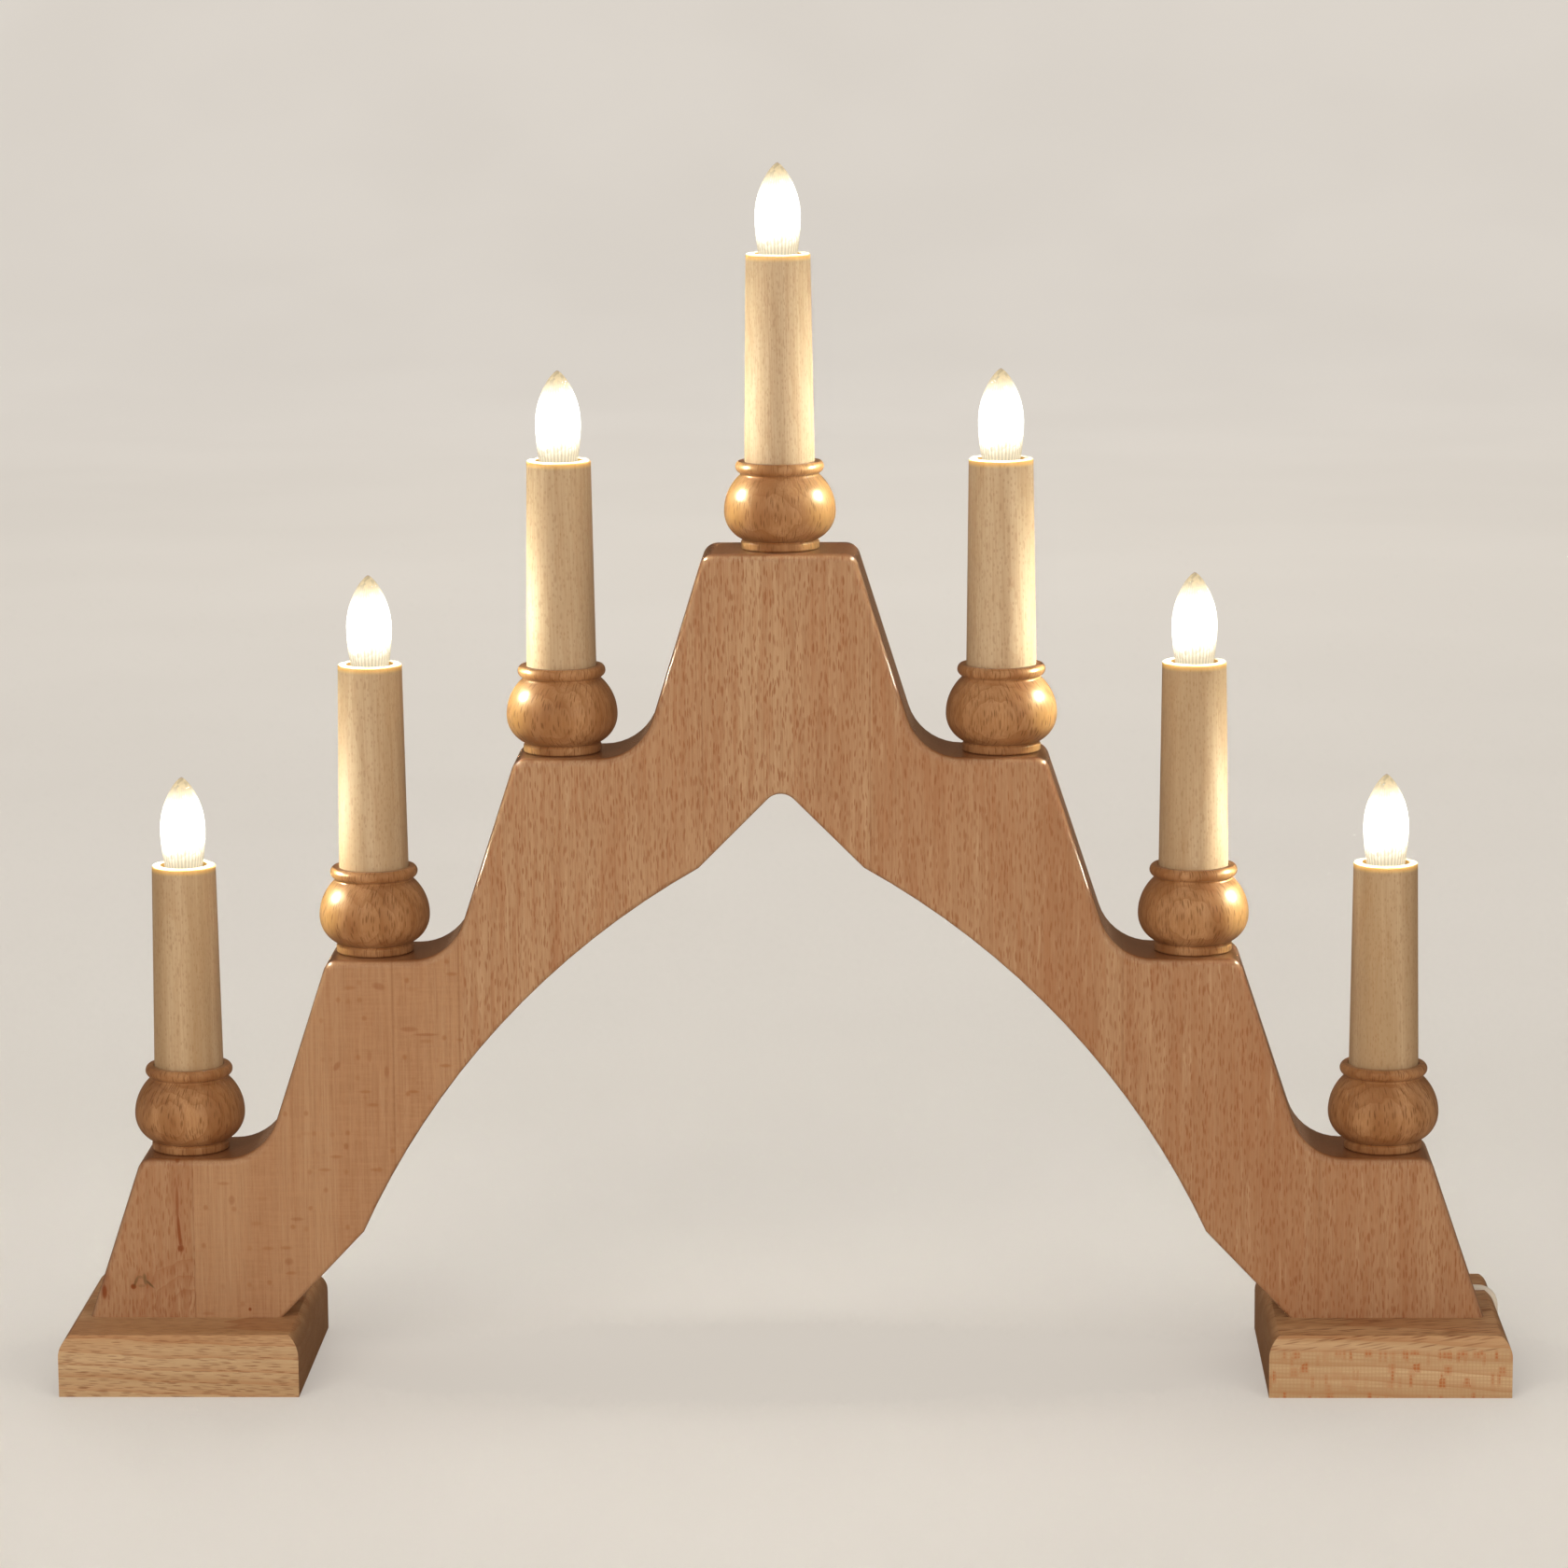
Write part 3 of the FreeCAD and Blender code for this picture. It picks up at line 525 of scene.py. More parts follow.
def foot_wood(name, middle, slant, stroke_width, stroke_length, stroke_depth, dashed_front, flecked_front):
    """Beech with its grain along the foot. A foot cut on the quarter shows blots on its front."""
    graph = Graph(name)
    x, y, z = graph.split(graph.place())
    sideways, frontal, _ = graph.facing()
    girth = graph.total(y, z, graph.product(graph.less(x, middle), slant))
    height = graph.total(z, graph.product(x, foot_slope))
    fine, broad = wood_fibres(graph, x, y, height)
    wobble = waver(graph, x, y, z, *foot_waver)
    rings = wood_rings(graph, y, height, wobble, *foot_pith, foot_ring_spacing)
    front = graph.ramp(frontal, *front_range)
    end_grain_and_shade = graph.ramp(sideways, *end_range)
    strokes = [(shift, width_share * stroke_width, length_share * stroke_length, size)
               for shift, width_share, length_share, size in foot_strokes]
    dashes = wood_dashes(graph, x, girth, *strokes)
    kept = graph.less(1.0, graph.product(front, 1.0 - dashed_front))
    dashes = graph.product(dashes, kept, graph.less(1.0, end_grain_and_shade))
    flecks = wood_spots(graph, x, z, "CHEBYCHEV", *foot_flecks)
    grid = graph.product(fleck_lines(graph, x), fleck_lines(graph, z))
    clusters = graph.ramp(graph.noise_along((x, 0.0, z), cluster_scales), *cluster_range)
    quartered = graph.product(front, flecked_front)
    flecks = graph.ramp(graph.product(flecks, grid, clusters), *fleck_range, smooth=False)
    base = graph.stained(
        wood_ground(graph, broad, (184, 150, 110), (204, 172, 132)),
        (graph.ramp(fine, *streak_range), 0.42, (170, 127, 86)),
        (rings, 0.58, (168, 114, 72)),
        (graph.product(graph.less(1.0, grid), quartered), 0.50, (172, 126, 80)),
        (dashes, stroke_depth, (122, 72, 36)),
        (graph.product(flecks, quartered), 0.84, (172, 92, 36)),
    )
    # Painted shade: faces turned away from the front, such as the top and the bevel, are darkened
    base = graph.mix(graph.ramp(frontal, *top_shade_range, 1.0, 0.0, smooth=False), base, colour(248, 229, 214),
                     "MULTIPLY")
    # End grain of the foot's ends, darker partly for real and partly as painted shade
    base = graph.stained(base, (end_grain_and_shade, 0.62, (100, 66, 40)))
    return wood_surface(graph, base, fine, dashes, foot_roughness, wood_relief)


# Candles, with the height of the lowest tubes' tops and the rise from one candle to the next inwards
candle_spacing = 64.0
tube_top = 169.6
candle_rise = 66.8
outermost = 3.0
lap_shift = 7


def candle_number(graph, x):
    """Number of the candle that the surface belongs to, counted from the middle one."""
    return graph.maths("ROUND", graph.maths("DIVIDE", x, candle_spacing))


def around(graph, x, y, number, radius):
    """Length round the candle's own axis, from its front. No two candles share their lengths."""
    aside = graph.less(x, graph.product(number, candle_spacing))
    angle = graph.maths("ARCTAN2", aside, graph.product(y, -1.0))
    return graph.total(graph.product(angle, radius), graph.product(number, radius * lap_shift))


def turned_wood(graph, place, number, radius, slope, stretch, reach, pith_aside, pith_depth, spacing, kinds):
    """Streaks, bands, rings and dashes of a piece that is turned with its grain upright."""
    x, y, z = place
    girth = around(graph, x, y, number, radius)
    across = graph.total(x, graph.product(z, slope))
    fine, broad = wood_fibres(graph, z, across, y)
    wobble = waver(graph, z, across, y, stretch, reach)
    pith = graph.total(graph.product(number, candle_spacing), pith_aside)
    rings = wood_rings(graph, x, y, wobble, pith, pith_depth, spacing)
    return fine, broad, rings, wood_dashes(graph, z, girth, *kinds)


cup_roughness = (0.36, 0.46)
cup_figure = {"radius": 17.0, "slope": 0.04, "stretch": 0.045, "reach": 7.0, "pith_aside": 9.0,
              "pith_depth": 42.0, "spacing": 2.6, "kinds": [(0.0, 0.74, 5.2, 0.32), (23.1, 1.3, 8.0, 0.18)]}
# Painted light of the neighbouring bulbs: golden sides that the five inner cups turn outwards, with the
# range of a face's turn and its share
bulb_glow_side_range = (0.38, 0.92)
bulb_glow_share = 0.46
bulb_glow_reach = 2.5
same_number = 0.5


def cup_wood():
    """Darker, glossier beech of the turned cups, with its grain upright."""
    graph = Graph("cup_beech")
    place = graph.split(graph.place())
    number = candle_number(graph, place[0])
    fine, broad, rings, dashes = turned_wood(graph, place, number, **cup_figure)
    normal_x = graph.split(graph.normal())[0]
    is_middle = graph.maths("COMPARE", number, 0.0, same_number)
    middle = graph.product(graph.maths("ABSOLUTE", normal_x), is_middle)
    bulb_glow_side = graph.most(graph.product(normal_x, graph.maths("SIGN", number)), middle)
    inner = graph.maths("LESS_THAN", graph.maths("ABSOLUTE", number), bulb_glow_reach)
    base = graph.stained(
        wood_ground(graph, broad, (151, 102, 63), (183, 135, 92)),
        (graph.ramp(fine, *streak_range), 0.50, (146, 92, 52)),
        (rings, 0.46, (126, 72, 36)),
        # Painted light: golden glow of the neighbouring bulbs on the sides that the inner cups turn outwards
        (graph.product(graph.ramp(bulb_glow_side, *bulb_glow_side_range), inner), bulb_glow_share, (226, 176, 106)),
        (dashes, 0.74, (100, 56, 28)),
    )
    return wood_surface(graph, base, fine, dashes, cup_roughness, wood_relief, coat_weight=0.7,
                        coat_ior=1.6, coat_roughness=0.25, specular_ior_level=1.0,
                        specular_tint=colour(255, 214, 140))


tube_roughness, tube_relief = (0.52, 0.62), (0.35, 0.05 * MM)
tube_figure = {"radius": 11.0, "slope": 0.02, "stretch": 0.02, "reach": 12.0, "pith_aside": 10.0,
               "pith_depth": 30.0, "spacing": 3.4, "kinds": [(0.0, 0.8, 2.4, 0.30), (12.9, 1.7, 9.0, 0.20)]}
# Range of a face's turn upwards that counts as a tube's mouth, which is painted near-white as painted light,
# and depth of the painted orange glow below it
mouth_range = (0.6, 0.9)
rim_range = (0.4, 2.4)
rim_glow = 0.22


def tube_wood():
    """Pale close-grained wood of the candle tubes, with painted light: paler towards the middle candle, its
    mouth painted near-white, and its rim painted orange and glowing where the lamp shines through it.
    """
    graph = Graph("tube_birch")
    place = graph.split(graph.place())
    _, _, upright = graph.facing()
    number = candle_number(graph, place[0])
    steps_out = graph.maths("ABSOLUTE", number)
    fine, broad, rings, dashes = turned_wood(graph, place, number, **tube_figure)
    rise = graph.product(graph.less(outermost, steps_out), candle_rise)
    below = graph.less(graph.total(rise, tube_top), place[2])
    mouth = graph.ramp(upright, *mouth_range)
    rim = graph.product(graph.ramp(below, *rim_range, 1.0, 0.0), graph.less(1.0, mouth))
    base = graph.stained(
        wood_ground(graph, broad, (172, 142, 106), (195, 167, 132)),
        # Painted light: tubes paler towards the middle candle, where the neighbouring bulbs light them more
        (graph.ramp(steps_out, 0.0, outermost, 1.0, 0.0, smooth=False), 0.55, (206, 182, 150)),
        (graph.ramp(fine, *streak_range), 0.44, (164, 126, 88)),
        (rings, 0.22, (164, 124, 84)),
        (dashes, 0.38, (146, 106, 70)),
        # Painted light: the mouth painted near-white where the lamp lights it
        (mouth, 0.9, (250, 240, 218)),
        # Painted light: orange rim where the lamp shines through the thin wood
        (rim, 0.6, (232, 184, 100)),
    )
    # The rim's emission is painted light, a glow of wood that is no lamp
    return wood_surface(graph, base, fine, dashes, tube_roughness, tube_relief, specular_ior_level=0.2,
                        emission_color=colour(240, 176, 76), emission_strength=graph.product(rim, rim_glow))


# Plastics, metals and glass

rough_detail = 3.0
speckle_scale, cloud_scale = 2.4, 0.09
cloud_share, cloud_tone = 0.5, 0.90
plastic_spread, plastic_depth = 0.12, 0.04 * MM
scuff_scales = (4.0, 4.0, 0.8)
scuff_share, scuff_tone = 0.35, 0.72
metal_spread, metal_relief = 0.2, (0.15, 0.03 * MM)


def plastic(name, shown, roughness, grain):
    """Moulded plastic with the faint grain of its mould."""
    graph = Graph(name)
    base = colour(*shown)
    place = graph.place()
    speckle = graph.noise(place, speckle_scale, rough_detail)
    cloud = graph.ramp(graph.noise(place, cloud_scale), *band_range, 0.0, cloud_share)
    tone = graph.mix(cloud, base, dimmed(base, cloud_tone))
    normal = graph.bump(speckle, grain, plastic_depth)
    gloss = graph.ramp(speckle, *gloss_range, roughness, roughness + plastic_spread)
    return graph.finish(graph.surface(tone, gloss, normal))


def metal(name, shown, roughness):
    """Drawn metal with fine scuffs."""
    graph = Graph(name)
    base = colour(*shown)
    scuffs = graph.noise(graph.vectors("MULTIPLY", graph.place(), scuff_scales), 1.0, rough_detail)
    tone = graph.mix(graph.ramp(scuffs, *band_range, 0.0, scuff_share), base, dimmed(base, scuff_tone))
    normal = graph.bump(scuffs, *metal_relief)
    gloss = graph.ramp(scuffs, *gloss_range, roughness, roughness + metal_spread)
    return graph.finish(graph.surface(tone, gloss, normal, metallic=0.6))


glass_tint = (1.0, 0.985, 0.95, 1.0)
glass_bend = 1.25
glass_relief, glass_relief_scale = (0.05, 0.02 * MM), 0.7


def clear_glass():
    """Glass that lets the lamp's own light straight through, so that it shows clean on the wood."""
    graph = Graph("bulb_glass")
    normal = graph.bump(graph.noise(graph.place(), glass_relief_scale), *glass_relief)
    inputs = {"Color": glass_tint, "Roughness": 0.0, "IOR": glass_bend, "Normal": normal}
    glass = graph.node("BsdfGlass", inputs).outputs[0]
    clear = graph.node("BsdfTransparent", {"Color": glass_tint}).outputs[0]
    passing = graph.rays("Is Shadow Ray", "Is Diffuse Ray", "Is Glossy Ray")
    return graph.finish(graph.node("MixShader", {0: passing, 1: glass, 2: clear}).outputs[0])


# Glow of a lit bulb, with its height counted from 0 at its foot to 1 at its tip
seen_rays = ("Is Camera Ray", "Is Transmission Ray")
glow_strength, glow_showing = 190.0, 3.0
glow_narrowing = 5.0
glow_ribs = 34
facet_scale = (0.9, 0.9, 0.6)
facet_waver, side_waver, rib_waver = 0.03, 0.004, 0.012
foot_fade, tip_fade = (0.11, 0.46), (0.62, 0.98)
foot_levels = (0.08, 0.26, 0.93, 1.15)
tip_levels = (0.84, 1.0, 1.12, 0.74)
rib_levels = (-0.6, 0.6, 0.78, 1.0)
facet_levels = (0.1, 0.9, 0.76, 1.08)
upper_part = (0.4, 0.6)


def glow():
    """White-hot middle of a lit bulb. Its foot shows the glass's ribs and its tip is warm and faceted."""
    graph = Graph("bulb_glow")
    height = graph.node("Attribute", attribute_name="height").outputs["Fac"]
    place = graph.place()
    x, y, _ = graph.split(place)
    inputs = {"Vector": graph.vectors("MULTIPLY", place, facet_scale), "Scale": 1.0}
    facets = graph.split(graph.node("TexVoronoi", inputs).outputs["Color"])[0]
    ribs = graph.maths("SINE", graph.product(graph.maths("ARCTAN2", y, x), glow_ribs))
    uneven = graph.total(height, graph.ramp(facets, 0.0, 1.0, -facet_waver, facet_waver))
    uneven = graph.total(graph.less(uneven, graph.product(x, side_waver)), graph.product(ribs, rib_waver))
    share = graph.product(graph.ramp(uneven, *foot_fade), graph.ramp(uneven, *tip_fade, 1.0, 0.0))
    foot_level = graph.product(graph.ramp(height, *foot_levels), graph.ramp(ribs, *rib_levels))
    tip_level = graph.product(graph.ramp(height, *tip_levels), graph.ramp(facets, *facet_levels))
    upper = graph.ramp(height, *upper_part)
    level = graph.total(foot_level, graph.product(upper, graph.less(tip_level, foot_level)))
    ends = graph.mix(upper, colour(252, 238, 208), colour(255, 232, 188))
    tint = graph.mix(share, ends, colour(243, 255, 250))
    lighting = graph.product(graph.maths("POWER", share, glow_narrowing), glow_strength)
    showing = graph.product(share, share, glow_showing)
    excess = graph.product(graph.less(showing, lighting), graph.rays(*seen_rays))
    strength = graph.total(lighting, excess, level)
    return graph.finish(graph.node("Emission", {"Color": tint, "Strength": strength}).outputs[0])


# Bulb, in millimetres above the bottom of its contact
collar_radius, collar_height = 5.0, 13.4
throat_radius, throat_height = 6.35, 17.2
belly_radius, belly_height = 7.4, 29.0
shoulder_radius, shoulder_height = 3.1, 43.4
tip_height = 46.5
neck_radius, neck_height = 4.35, 12.8
collar_swell, tip_roundness = 0.8, 0.75
glass_base = 7.0
glass_wall = 0.28
tip_wall, tip_wall_height = 1.25 * glass_wall, 42
glass_rings = 56
glass_crowding = 0.9
outer_tip_gap, inner_tip_gap = 0.05, 1.3
least_radius = 0.12
rib_count = 40
rib_depth = 0.09
rib_steps = 6
rib_fade, rib_full_radius = 2.0, 5.0


def circle_radius(height, far_radius, far_height):
    """Radius at a height on the arc that is upright at the belly and ends at a far point."""
    inward = belly_radius - far_radius
    arc = (inward ** 2 + (far_height - belly_height) ** 2) / (2 * inward)
    return belly_radius - arc + math.sqrt(arc ** 2 - (height - belly_height) ** 2)


def glass_radius(height):
    """Radius of the glass's outside at a height, before its ribs."""
    if height < neck_height:
        return neck_radius
    if height < collar_height:
        share = (height - neck_height) / (collar_height - neck_height)
        return neck_radius + (collar_radius - neck_radius) * share
    if height < throat_height:
        share = (height - collar_height) / (throat_height - collar_height)
        swell = math.sin(share * math.pi / 2) ** collar_swell
        return collar_radius + (throat_radius - collar_radius) * swell
    if height < belly_height:
        return circle_radius(height, throat_radius, throat_height)
    if height < shoulder_height:
        return circle_radius(height, shoulder_radius, shoulder_height)
    share = (height - shoulder_height) / (tip_height - shoulder_height)
    return shoulder_radius * (1 - share) ** tip_roundness


def ring_mesh(name, rings, steps, close_low=True, close_high=True):
    """Mesh of rings about Z. Each ring is a height and a function from an angle to a radius."""
    mesh = bpy.data.meshes.new(name)
    made = bmesh.new()
    loops = []
    for height, radius in rings:
        loop = []
        for step in range(steps):
            angle = math.tau * step / steps
            reach = radius(angle)
            loop.append(made.verts.new((reach * math.cos(angle), reach * math.sin(angle), height)))
        loops.append(loop)
    for low, high in zip(loops, loops[1:]):
        for step in range(steps):
            after = (step + 1) % steps
            made.faces.new((low[step], low[after], high[after], high[step]))
    if close_low:
        made.faces.new(list(reversed(loops[0])))
    if close_high:
        made.faces.new(loops[-1])
    for face in made.faces:
        face.smooth = len(face.verts) == 4
    made.to_mesh(mesh)
    made.free()
    return mesh


def round_ring(height, reach):
    """Ring of one radius all the way round."""
    return height, lambda angle: reach


def ribbed_ring(height):
    """Ring of the ribbed outside of the glass."""
    base = glass_radius(height)
    fade = min(max((height - collar_height) / rib_fade, 0.0), 1.0) * min(1.0, base / rib_full_radius)

    def radius(angle):
        groove = math.sin(rib_count * angle / 2) ** 2
        return base - rib_depth * fade * (1 - groove)

    return height, radius


def shell_heights(low, high, count):
    """Heights that crowd together towards the tip, where the glass turns in."""
    quarter = math.pi / 2
    return [low + (high - low) * math.sin(quarter * number / (count - 1)) ** glass_crowding
            for number in range(count)]


def bulb_mesh():
    """Hollow glass, ribbed outside, whose walls close on each other at its foot and at its tip."""
    steps = rib_count * rib_steps
    outside = [glass_base, neck_height]
    outside += shell_heights(collar_height, tip_height - outer_tip_gap, glass_rings)
    rings = [ribbed_ring(height) for height in outside]
    for height in reversed(shell_heights(glass_base, tip_height - inner_tip_gap, glass_rings // 2)):
        wall = glass_wall if height < tip_wall_height else tip_wall
        rings.append(round_ring(height, max(glass_radius(height) - wall, least_radius)))
    outer_count = len(outside)
    mesh = ring_mesh("bulb_shell", rings, steps, close_low=False, close_high=False)
    made = bmesh.new()
    made.from_mesh(mesh)
    bridge = []
    for face in made.faces:
        rows = {vertex.index // steps for vertex in face.verts}
        if rows == {outer_count - 1, outer_count}:
            bridge.append(face)
    bmesh.ops.delete(made, geom=bridge, context="FACES_ONLY")
    made.verts.ensure_lookup_table()

    def row(number):
        return [made.verts[number * steps + step] for step in range(steps)]

    made.faces.new(row(outer_count - 1))
    made.faces.new(list(reversed(row(outer_count))))
    low_outer, low_inner = row(0), row(len(rings) - 1)
    for step in range(steps):
        after = (step + 1) % steps
        made.faces.new((low_inner[step], low_inner[after], low_outer[after], low_outer[step]))
    bmesh.ops.recalc_face_normals(made, faces=made.faces)
    made.to_mesh(mesh)
    made.free()
    return mesh


glow_low, glow_high = 13.4, 46.1
glow_inset = 0.33
glow_steps, glow_rings = 48, 40
glow_squareness = 24
glow_least_radius = 0.05


def glow_mesh():
    """Closed form just inside the glass. Its height attribute runs from 0 at its foot to 1 at its tip."""
    rings = []
    for number in range(glow_rings):
        share = number / (glow_rings - 1)
        height = glow_low + (glow_high - glow_low) * share
        ends = math.sqrt(max(1 - (2 * share - 1) ** glow_squareness, 0.0))
        inset = glow_inset * min(1.0, glass_radius(height) / throat_radius)
        rings.append(round_ring(height, max((glass_radius(height) - inset) * ends, glow_least_radius)))
    mesh = ring_mesh("bulb_glow", rings, glow_steps)
    attribute = mesh.attributes.new("height", "FLOAT", "POINT")
    values = [(vertex.co.z - glow_low) / (glow_high - glow_low) for vertex in mesh.vertices]
    attribute.data.foreach_set("value", values)
    return mesh


# Screw cap with its rolled thread
cap_low, cap_high = 2.6, 12.8
cap_crest, cap_root = 4.75, 4.42
cap_steps, cap_rings = 64, 90
cap_foot_radius, cap_foot_slope = 3.85, 1.1
cap_hole = 1.5
cap_lip = neck_radius + 0.02
plain_wall = 0.75
thread_pitch = 1.81
thread_low, thread_high = 3.8, 11.2
thread_fade = 0.8


def cap_ring(height):
    """Ring of the cap's wall, where the thread rises and dies away at both ends."""
    into = min(max(min(height - thread_low, thread_high - height), 0.0) / thread_fade, 1.0)

    def radius(angle):
        wave = 0.5 + 0.5 * math.cos(math.tau * height / thread_pitch - angle)
        reach = cap_root + (cap_crest - cap_root) * (wave * into + (1 - into) * plain_wall)
        return min(reach, cap_foot_radius + (height - cap_low) * cap_foot_slope)

    return height, radius


def cap_mesh():
    rings = [round_ring(cap_low, cap_hole)]
    for number in range(cap_rings):
        rings.append(cap_ring(cap_low + (cap_high - cap_low) * number / (cap_rings - 1)))
    rings.append(round_ring(cap_high, cap_lip))
    return ring_mesh("bulb_cap", rings, cap_steps, close_low=False, close_high=False)


def place_piece(name, mesh, material, body, corner, *replaced):
    """Puts a mesh at a place in the part's own frame, and lets it ride on a body."""
    piece = add(name, mesh)
    piece.data.materials.clear()
    piece.data.materials.append(material)
    piece.location = corner
    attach(piece, body)
    if replaced:
        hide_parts(*replaced)
    return piece


def make_bulbs():
    glass, hot = clear_glass(), glow()
    brass = metal("cap_brass", (206, 178, 120), roughness=0.24)
    shell, core, cap = bulb_mesh(), glow_mesh(), cap_mesh()
    for mesh in (shell, core, cap):
        mesh.transform(Matrix.Scale(MM, 4))
    for number in CANDLES:
        low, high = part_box(f"bulb_contact_{number}")
        seat = Vector(((low.x + high.x) / 2, (low.y + high.y) / 2, low.z))
        body = f"bulb_{number}"
        made = place_piece(f"bulb_shell_{number}", shell, glass, body, seat, f"bulb_glass_{number}")
        made = place_piece(f"bulb_glow_{number}", core, hot, body, seat)
        made = place_piece(f"bulb_screw_cap_{number}", cap, brass, body, seat, f"bulb_cap_{number}")


# Mains lead, its route repeated from the part's source in millimetres
lead_colour = (232, 218, 198)
lead_diameter = 4.0
lead_curve_steps, lead_round_steps = 6, 4
lead_height = 19.3
lead_route = [
    (203.3, 9.8, lead_height),
    (213.9, 20.4, lead_height),
    (225.9, 20.4, lead_height),
    (236.8, 20.4, lead_height),
    (236.8, 20.4, 8.4),
    (239.9, 26.4, 2.05),
    (240.0, 38.0, 2.05),
    (233.0, 50.3, 2.05),
    (219.0, 57.0, 2.05),
]
coil_entry = (204.0, 57.0, 2.05)
coil_middle_radius = 22.0
coil_turn_step = 5.2
coil_layer_step = 4.8
coil_lower_turns, coil_climb_turns, coil_upper_turns = 5.0, 0.5, 4.25
coil_points_per_turn = 16
coil_outer_radius = coil_middle_radius + coil_turn_step * coil_lower_turns / 2
coil_end_radius = coil_outer_radius - coil_turn_step * (coil_lower_turns - coil_upper_turns)
coil_centre = (coil_entry[0] - lead_diameter, coil_entry[1] + coil_outer_radius, coil_entry[2])
coil_end = (coil_centre[0] + coil_end_radius, coil_centre[1], coil_centre[2] + coil_layer_step)
plug_rise = 8.9
tail_steps = [
    (0.0, -lead_diameter, 0.0),
    (0.0, -14.4, 0.0),
    (-5.8, -28.4, 2.9),
    (-21.8, -36.4, 7.7),
    (-43.8, -36.4, plug_rise),
    (-43.8, -24.4, plug_rise),
]


def coil_point(turn):
    """Control point of the coil after a number of turns, set out by what the spline cuts inside."""
    climb_end = coil_lower_turns + coil_climb_turns
    inward = min(turn, coil_lower_turns) - max(turn - climb_end, 0)
    climbed = min(max(turn - coil_lower_turns, 0) / coil_climb_turns, 1)
    radius = coil_outer_radius - coil_turn_step * inward
    radius /= 0.5 + 0.5 * math.cos(math.pi / coil_points_per_turn)
    angle = -math.tau * (turn + 0.25)
    rise = coil_layer_step * (0.5 - 0.5 * math.cos(math.pi * climbed))
    return (coil_centre[0] + radius * math.cos(angle), coil_centre[1] + radius * math.sin(angle),
            coil_centre[2] + rise)


def make_lead():
    turns = coil_lower_turns + coil_climb_turns + coil_upper_turns
    count = round(turns * coil_points_per_turn)
    points = list(lead_route)
    points += [coil_point((number + 0.5) / coil_points_per_turn) for number in range(count)]
    points += [tuple(map(sum, zip(coil_end, step))) for step in tail_steps]
    curve = bpy.data.curves.new("mains_lead_line", "CURVE")
    curve.dimensions = "3D"
    curve.resolution_u = lead_curve_steps
    curve.bevel_depth = lead_diameter / 2 * MM
    curve.bevel_resolution = lead_round_steps
    curve.use_fill_caps = True
    spline = curve.splines.new("NURBS")
    spline.points.add(len(points) - 1)
    for point, place in zip(spline.points, points):
        point.co = (*[value * MM for value in place], 1.0)
    spline.order_u = 3
    spline.use_endpoint_u = True
    lead = add("mains_lead_cord", curve)
    lead.data.materials.append(plastic("lead_plastic", lead_colour, roughness=0.38, grain=0.10))
    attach(lead, "arch")
    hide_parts("mains_lead", "lead_coil", "lead_tail")


# Finishes of the model's own pieces

solder_height = 1.25 * MM


def by_height(node, height, lower, upper):
    """Gives a node one material below a height above its own foot, and another above it."""
    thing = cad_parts[node]
    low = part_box(node)[0].z
    thing.data.materials.clear()
    thing.data.materials.append(lower)
    thing.data.materials.append(upper)
    for polygon in thing.data.polygons:
        polygon.material_index = 1 if polygon.center.z > low + height else 0


def dress_frame():
    cups, tubes = cup_wood(), tube_wood()
    holders = plastic("holder_plastic", (214, 208, 192), roughness=0.45, grain=0.30)
    solder = metal("contact_solder", (176, 176, 178), roughness=0.38)
    insulator = plastic("contact_glass", (30, 30, 36), roughness=0.18, grain=0.05)
    hot_wire = metal("filament_metal", (170, 160, 150), roughness=0.30)
    give(board_wood(), "arch_board")
    give(foot_wood("left_foot_beech", **left_foot_figure), "left_foot")
    give(foot_wood("right_foot_beech", **right_foot_figure), "right_foot")
    give(metal("screw_steel", (190, 190, 192), roughness=0.30), "foot_screws")
    give(metal("pin_metal", (205, 196, 170), roughness=0.20), "plug_pins")
    give(plastic("plug_plastic", lead_colour, roughness=0.36, grain=0.20), "mains_plug", "lead_sleeve")
    give(plastic("wire_plastic", (222, 214, 196), roughness=0.40, grain=0.15), "series_wiring")
    for number in CANDLES:
        give(cups, f"candle_cup_{number}")
        give(tubes, f"candle_tube_{number}")
        give(holders, f"lamp_holder_{number}")
        give(hot_wire, f"bulb_filament_{number}")
        by_height(f"bulb_contact_{number}", solder_height, solder, insulator)


# Floor and backdrop in one sweep, in metres. The camera sees it a little brighter than it is lit.
floor_side, floor_front = 9.0, -9.0
sweep_radius, sweep_start, sweep_steps = 1.6, 3.0, 16
wall_height = 5.0
floor_roughness, floor_gloss = 0.85, 0.1
floor_cloud = 0.004
floor_lift = (-300.0, 900.0, 0.36, 0.43)
wall_lift = (2300.0, 3300.0, 0.0, 0.18)


def floor_paper():
    graph = Graph("floor")
    place = graph.place()
    cloud = graph.ramp(graph.noise(place, floor_cloud), *band_range)
    tone = graph.mix(cloud, colour(232, 226, 218), colour(236, 230, 222))
    seen = graph.rays(*seen_rays)
    depth = graph.split(place)[1]
    lift = graph.product(graph.total(graph.ramp(depth, *floor_lift), graph.ramp(depth, *wall_lift)), seen)
    lit = graph.mix(seen, tone, colour(186, 181, 174))
    lit = graph.mix(graph.rays("Is Glossy Ray"), lit, colour(146, 114, 90))
    return graph.finish(graph.surface(lit, floor_roughness, None, specular_ior_level=floor_gloss,
                                      emission_color=tone, emission_strength=lift))


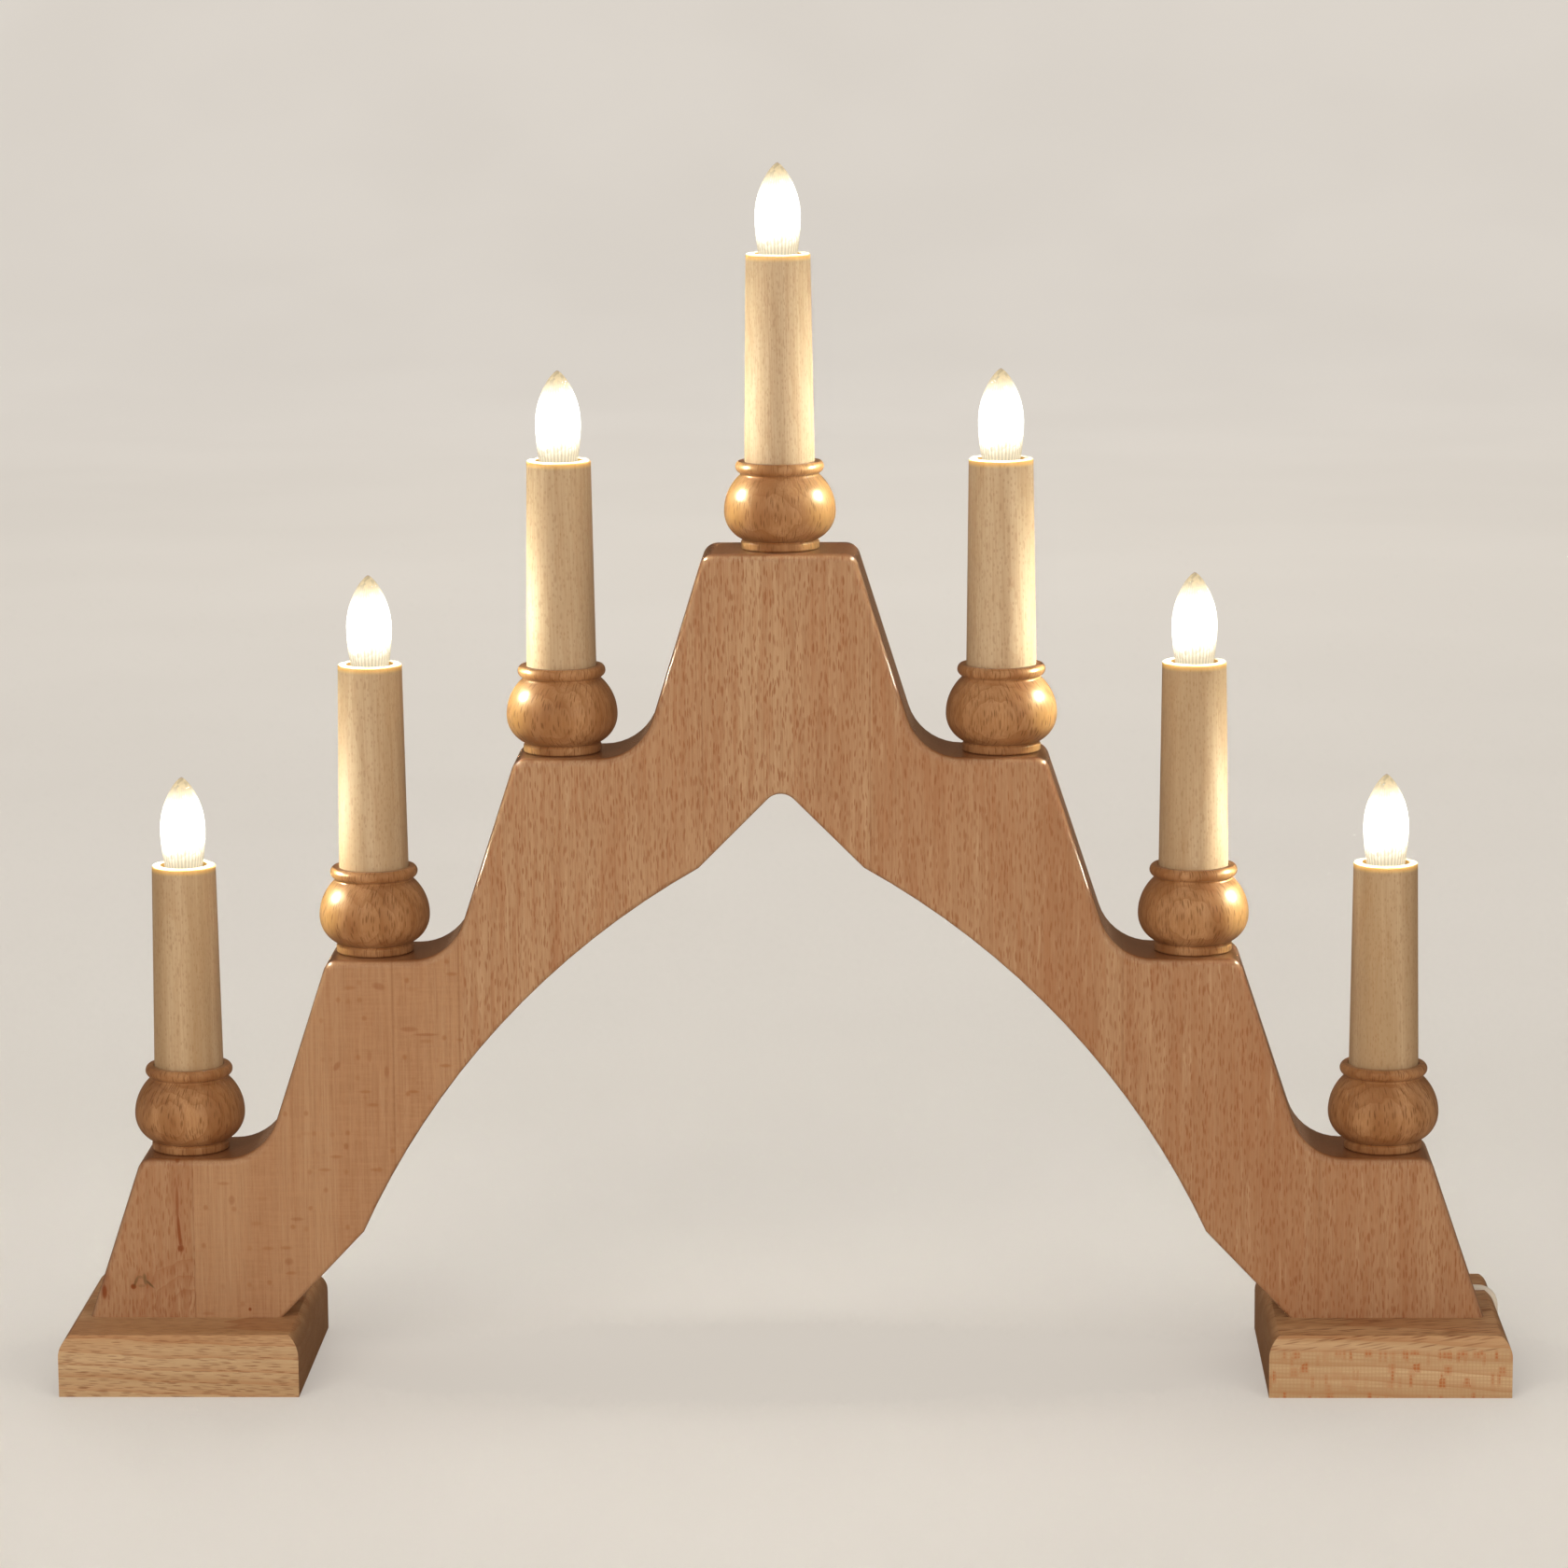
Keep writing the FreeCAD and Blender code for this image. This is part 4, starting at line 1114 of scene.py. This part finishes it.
def make_stage():
    mesh = bpy.data.meshes.new("floor")
    made = bmesh.new()
    outline = [(floor_front, 0.0)]
    for number in range(sweep_steps + 1):
        angle = math.pi / 2 * number / sweep_steps
        outline.append((sweep_start + sweep_radius * math.sin(angle), sweep_radius * (1 - math.cos(angle))))
    outline.append((sweep_start + sweep_radius, wall_height))
    rows = [[made.verts.new((side, y, z)) for side in (-floor_side, floor_side)] for y, z in outline]
    for low, high in zip(rows, rows[1:]):
        face = made.faces.new((low[0], low[1], high[1], high[0]))
        face.smooth = True
    made.to_mesh(mesh)
    made.free()
    floor = add("floor", mesh)
    floor.data.materials.append(floor_paper())


# Lamps, all aimed at the arch: name, place, width, height, power, tint
lamp_aim = (0.0, 0.0, 0.2)
lamps = [
    ("key", (-0.9, -2.0, 1.1), 1.4, 1.2, 25.0, (255, 250, 243)),
    ("fill", (1.2, -1.9, 0.8), 1.4, 1.2, 15.0, (255, 250, 243)),
    ("top", (0.0, 0.5, 1.9), 1.6, 1.2, 3.0, (255, 252, 247)),
    ("back", (0.0, 2.6, 1.5), 1.6, 1.0, 16.0, (255, 252, 247)),
]
world_level = 0.42
world_levels = {"Is Glossy Ray": 0.16, "Is Transmission Ray": 0.90, "Is Camera Ray": 0.90}


def make_lamp(name, place, width, height, power, tint):
    data = bpy.data.lights.new(name, "AREA")
    data.shape = "RECTANGLE"
    data.size = width
    data.size_y = height
    data.energy = power
    data.color = colour(*tint)[:3]
    lamp = add(name, data)
    lamp.location = place
    lamp.rotation_mode = "QUATERNION"
    lamp.rotation_quaternion = (Vector(lamp_aim) - Vector(place)).to_track_quat("-Z", "Y")
    lamp.visible_glossy = False
    lamp.visible_camera = False


def make_world():
    """Plain pale world, whose level for each kind of ray replaces the one before."""
    world = bpy.data.worlds.new("world")
    world.use_nodes = True
    nodes, links = world.node_tree.nodes, world.node_tree.links
    sky = nodes["Background"]
    sky.inputs["Color"].default_value = colour(232, 228, 222)
    path = nodes.new("ShaderNodeLightPath")
    before = None
    for ray, level in world_levels.items():
        choice = nodes.new("ShaderNodeMapRange")
        links.new(path.outputs[ray], choice.inputs["Value"])
        choice.inputs["To Min"].default_value = world_level
        choice.inputs["To Max"].default_value = level
        if before:
            links.new(before, choice.inputs["To Min"])
        before = choice.outputs[0]
    links.new(before, sky.inputs["Strength"])
    bpy.context.scene.world = world


make_camera()
make_lead()
make_bulbs()
dress_frame()
make_stage()
for lamp_settings in lamps:
    make_lamp(*lamp_settings)
make_world()
bpy.context.scene.view_settings.view_transform = "Standard"
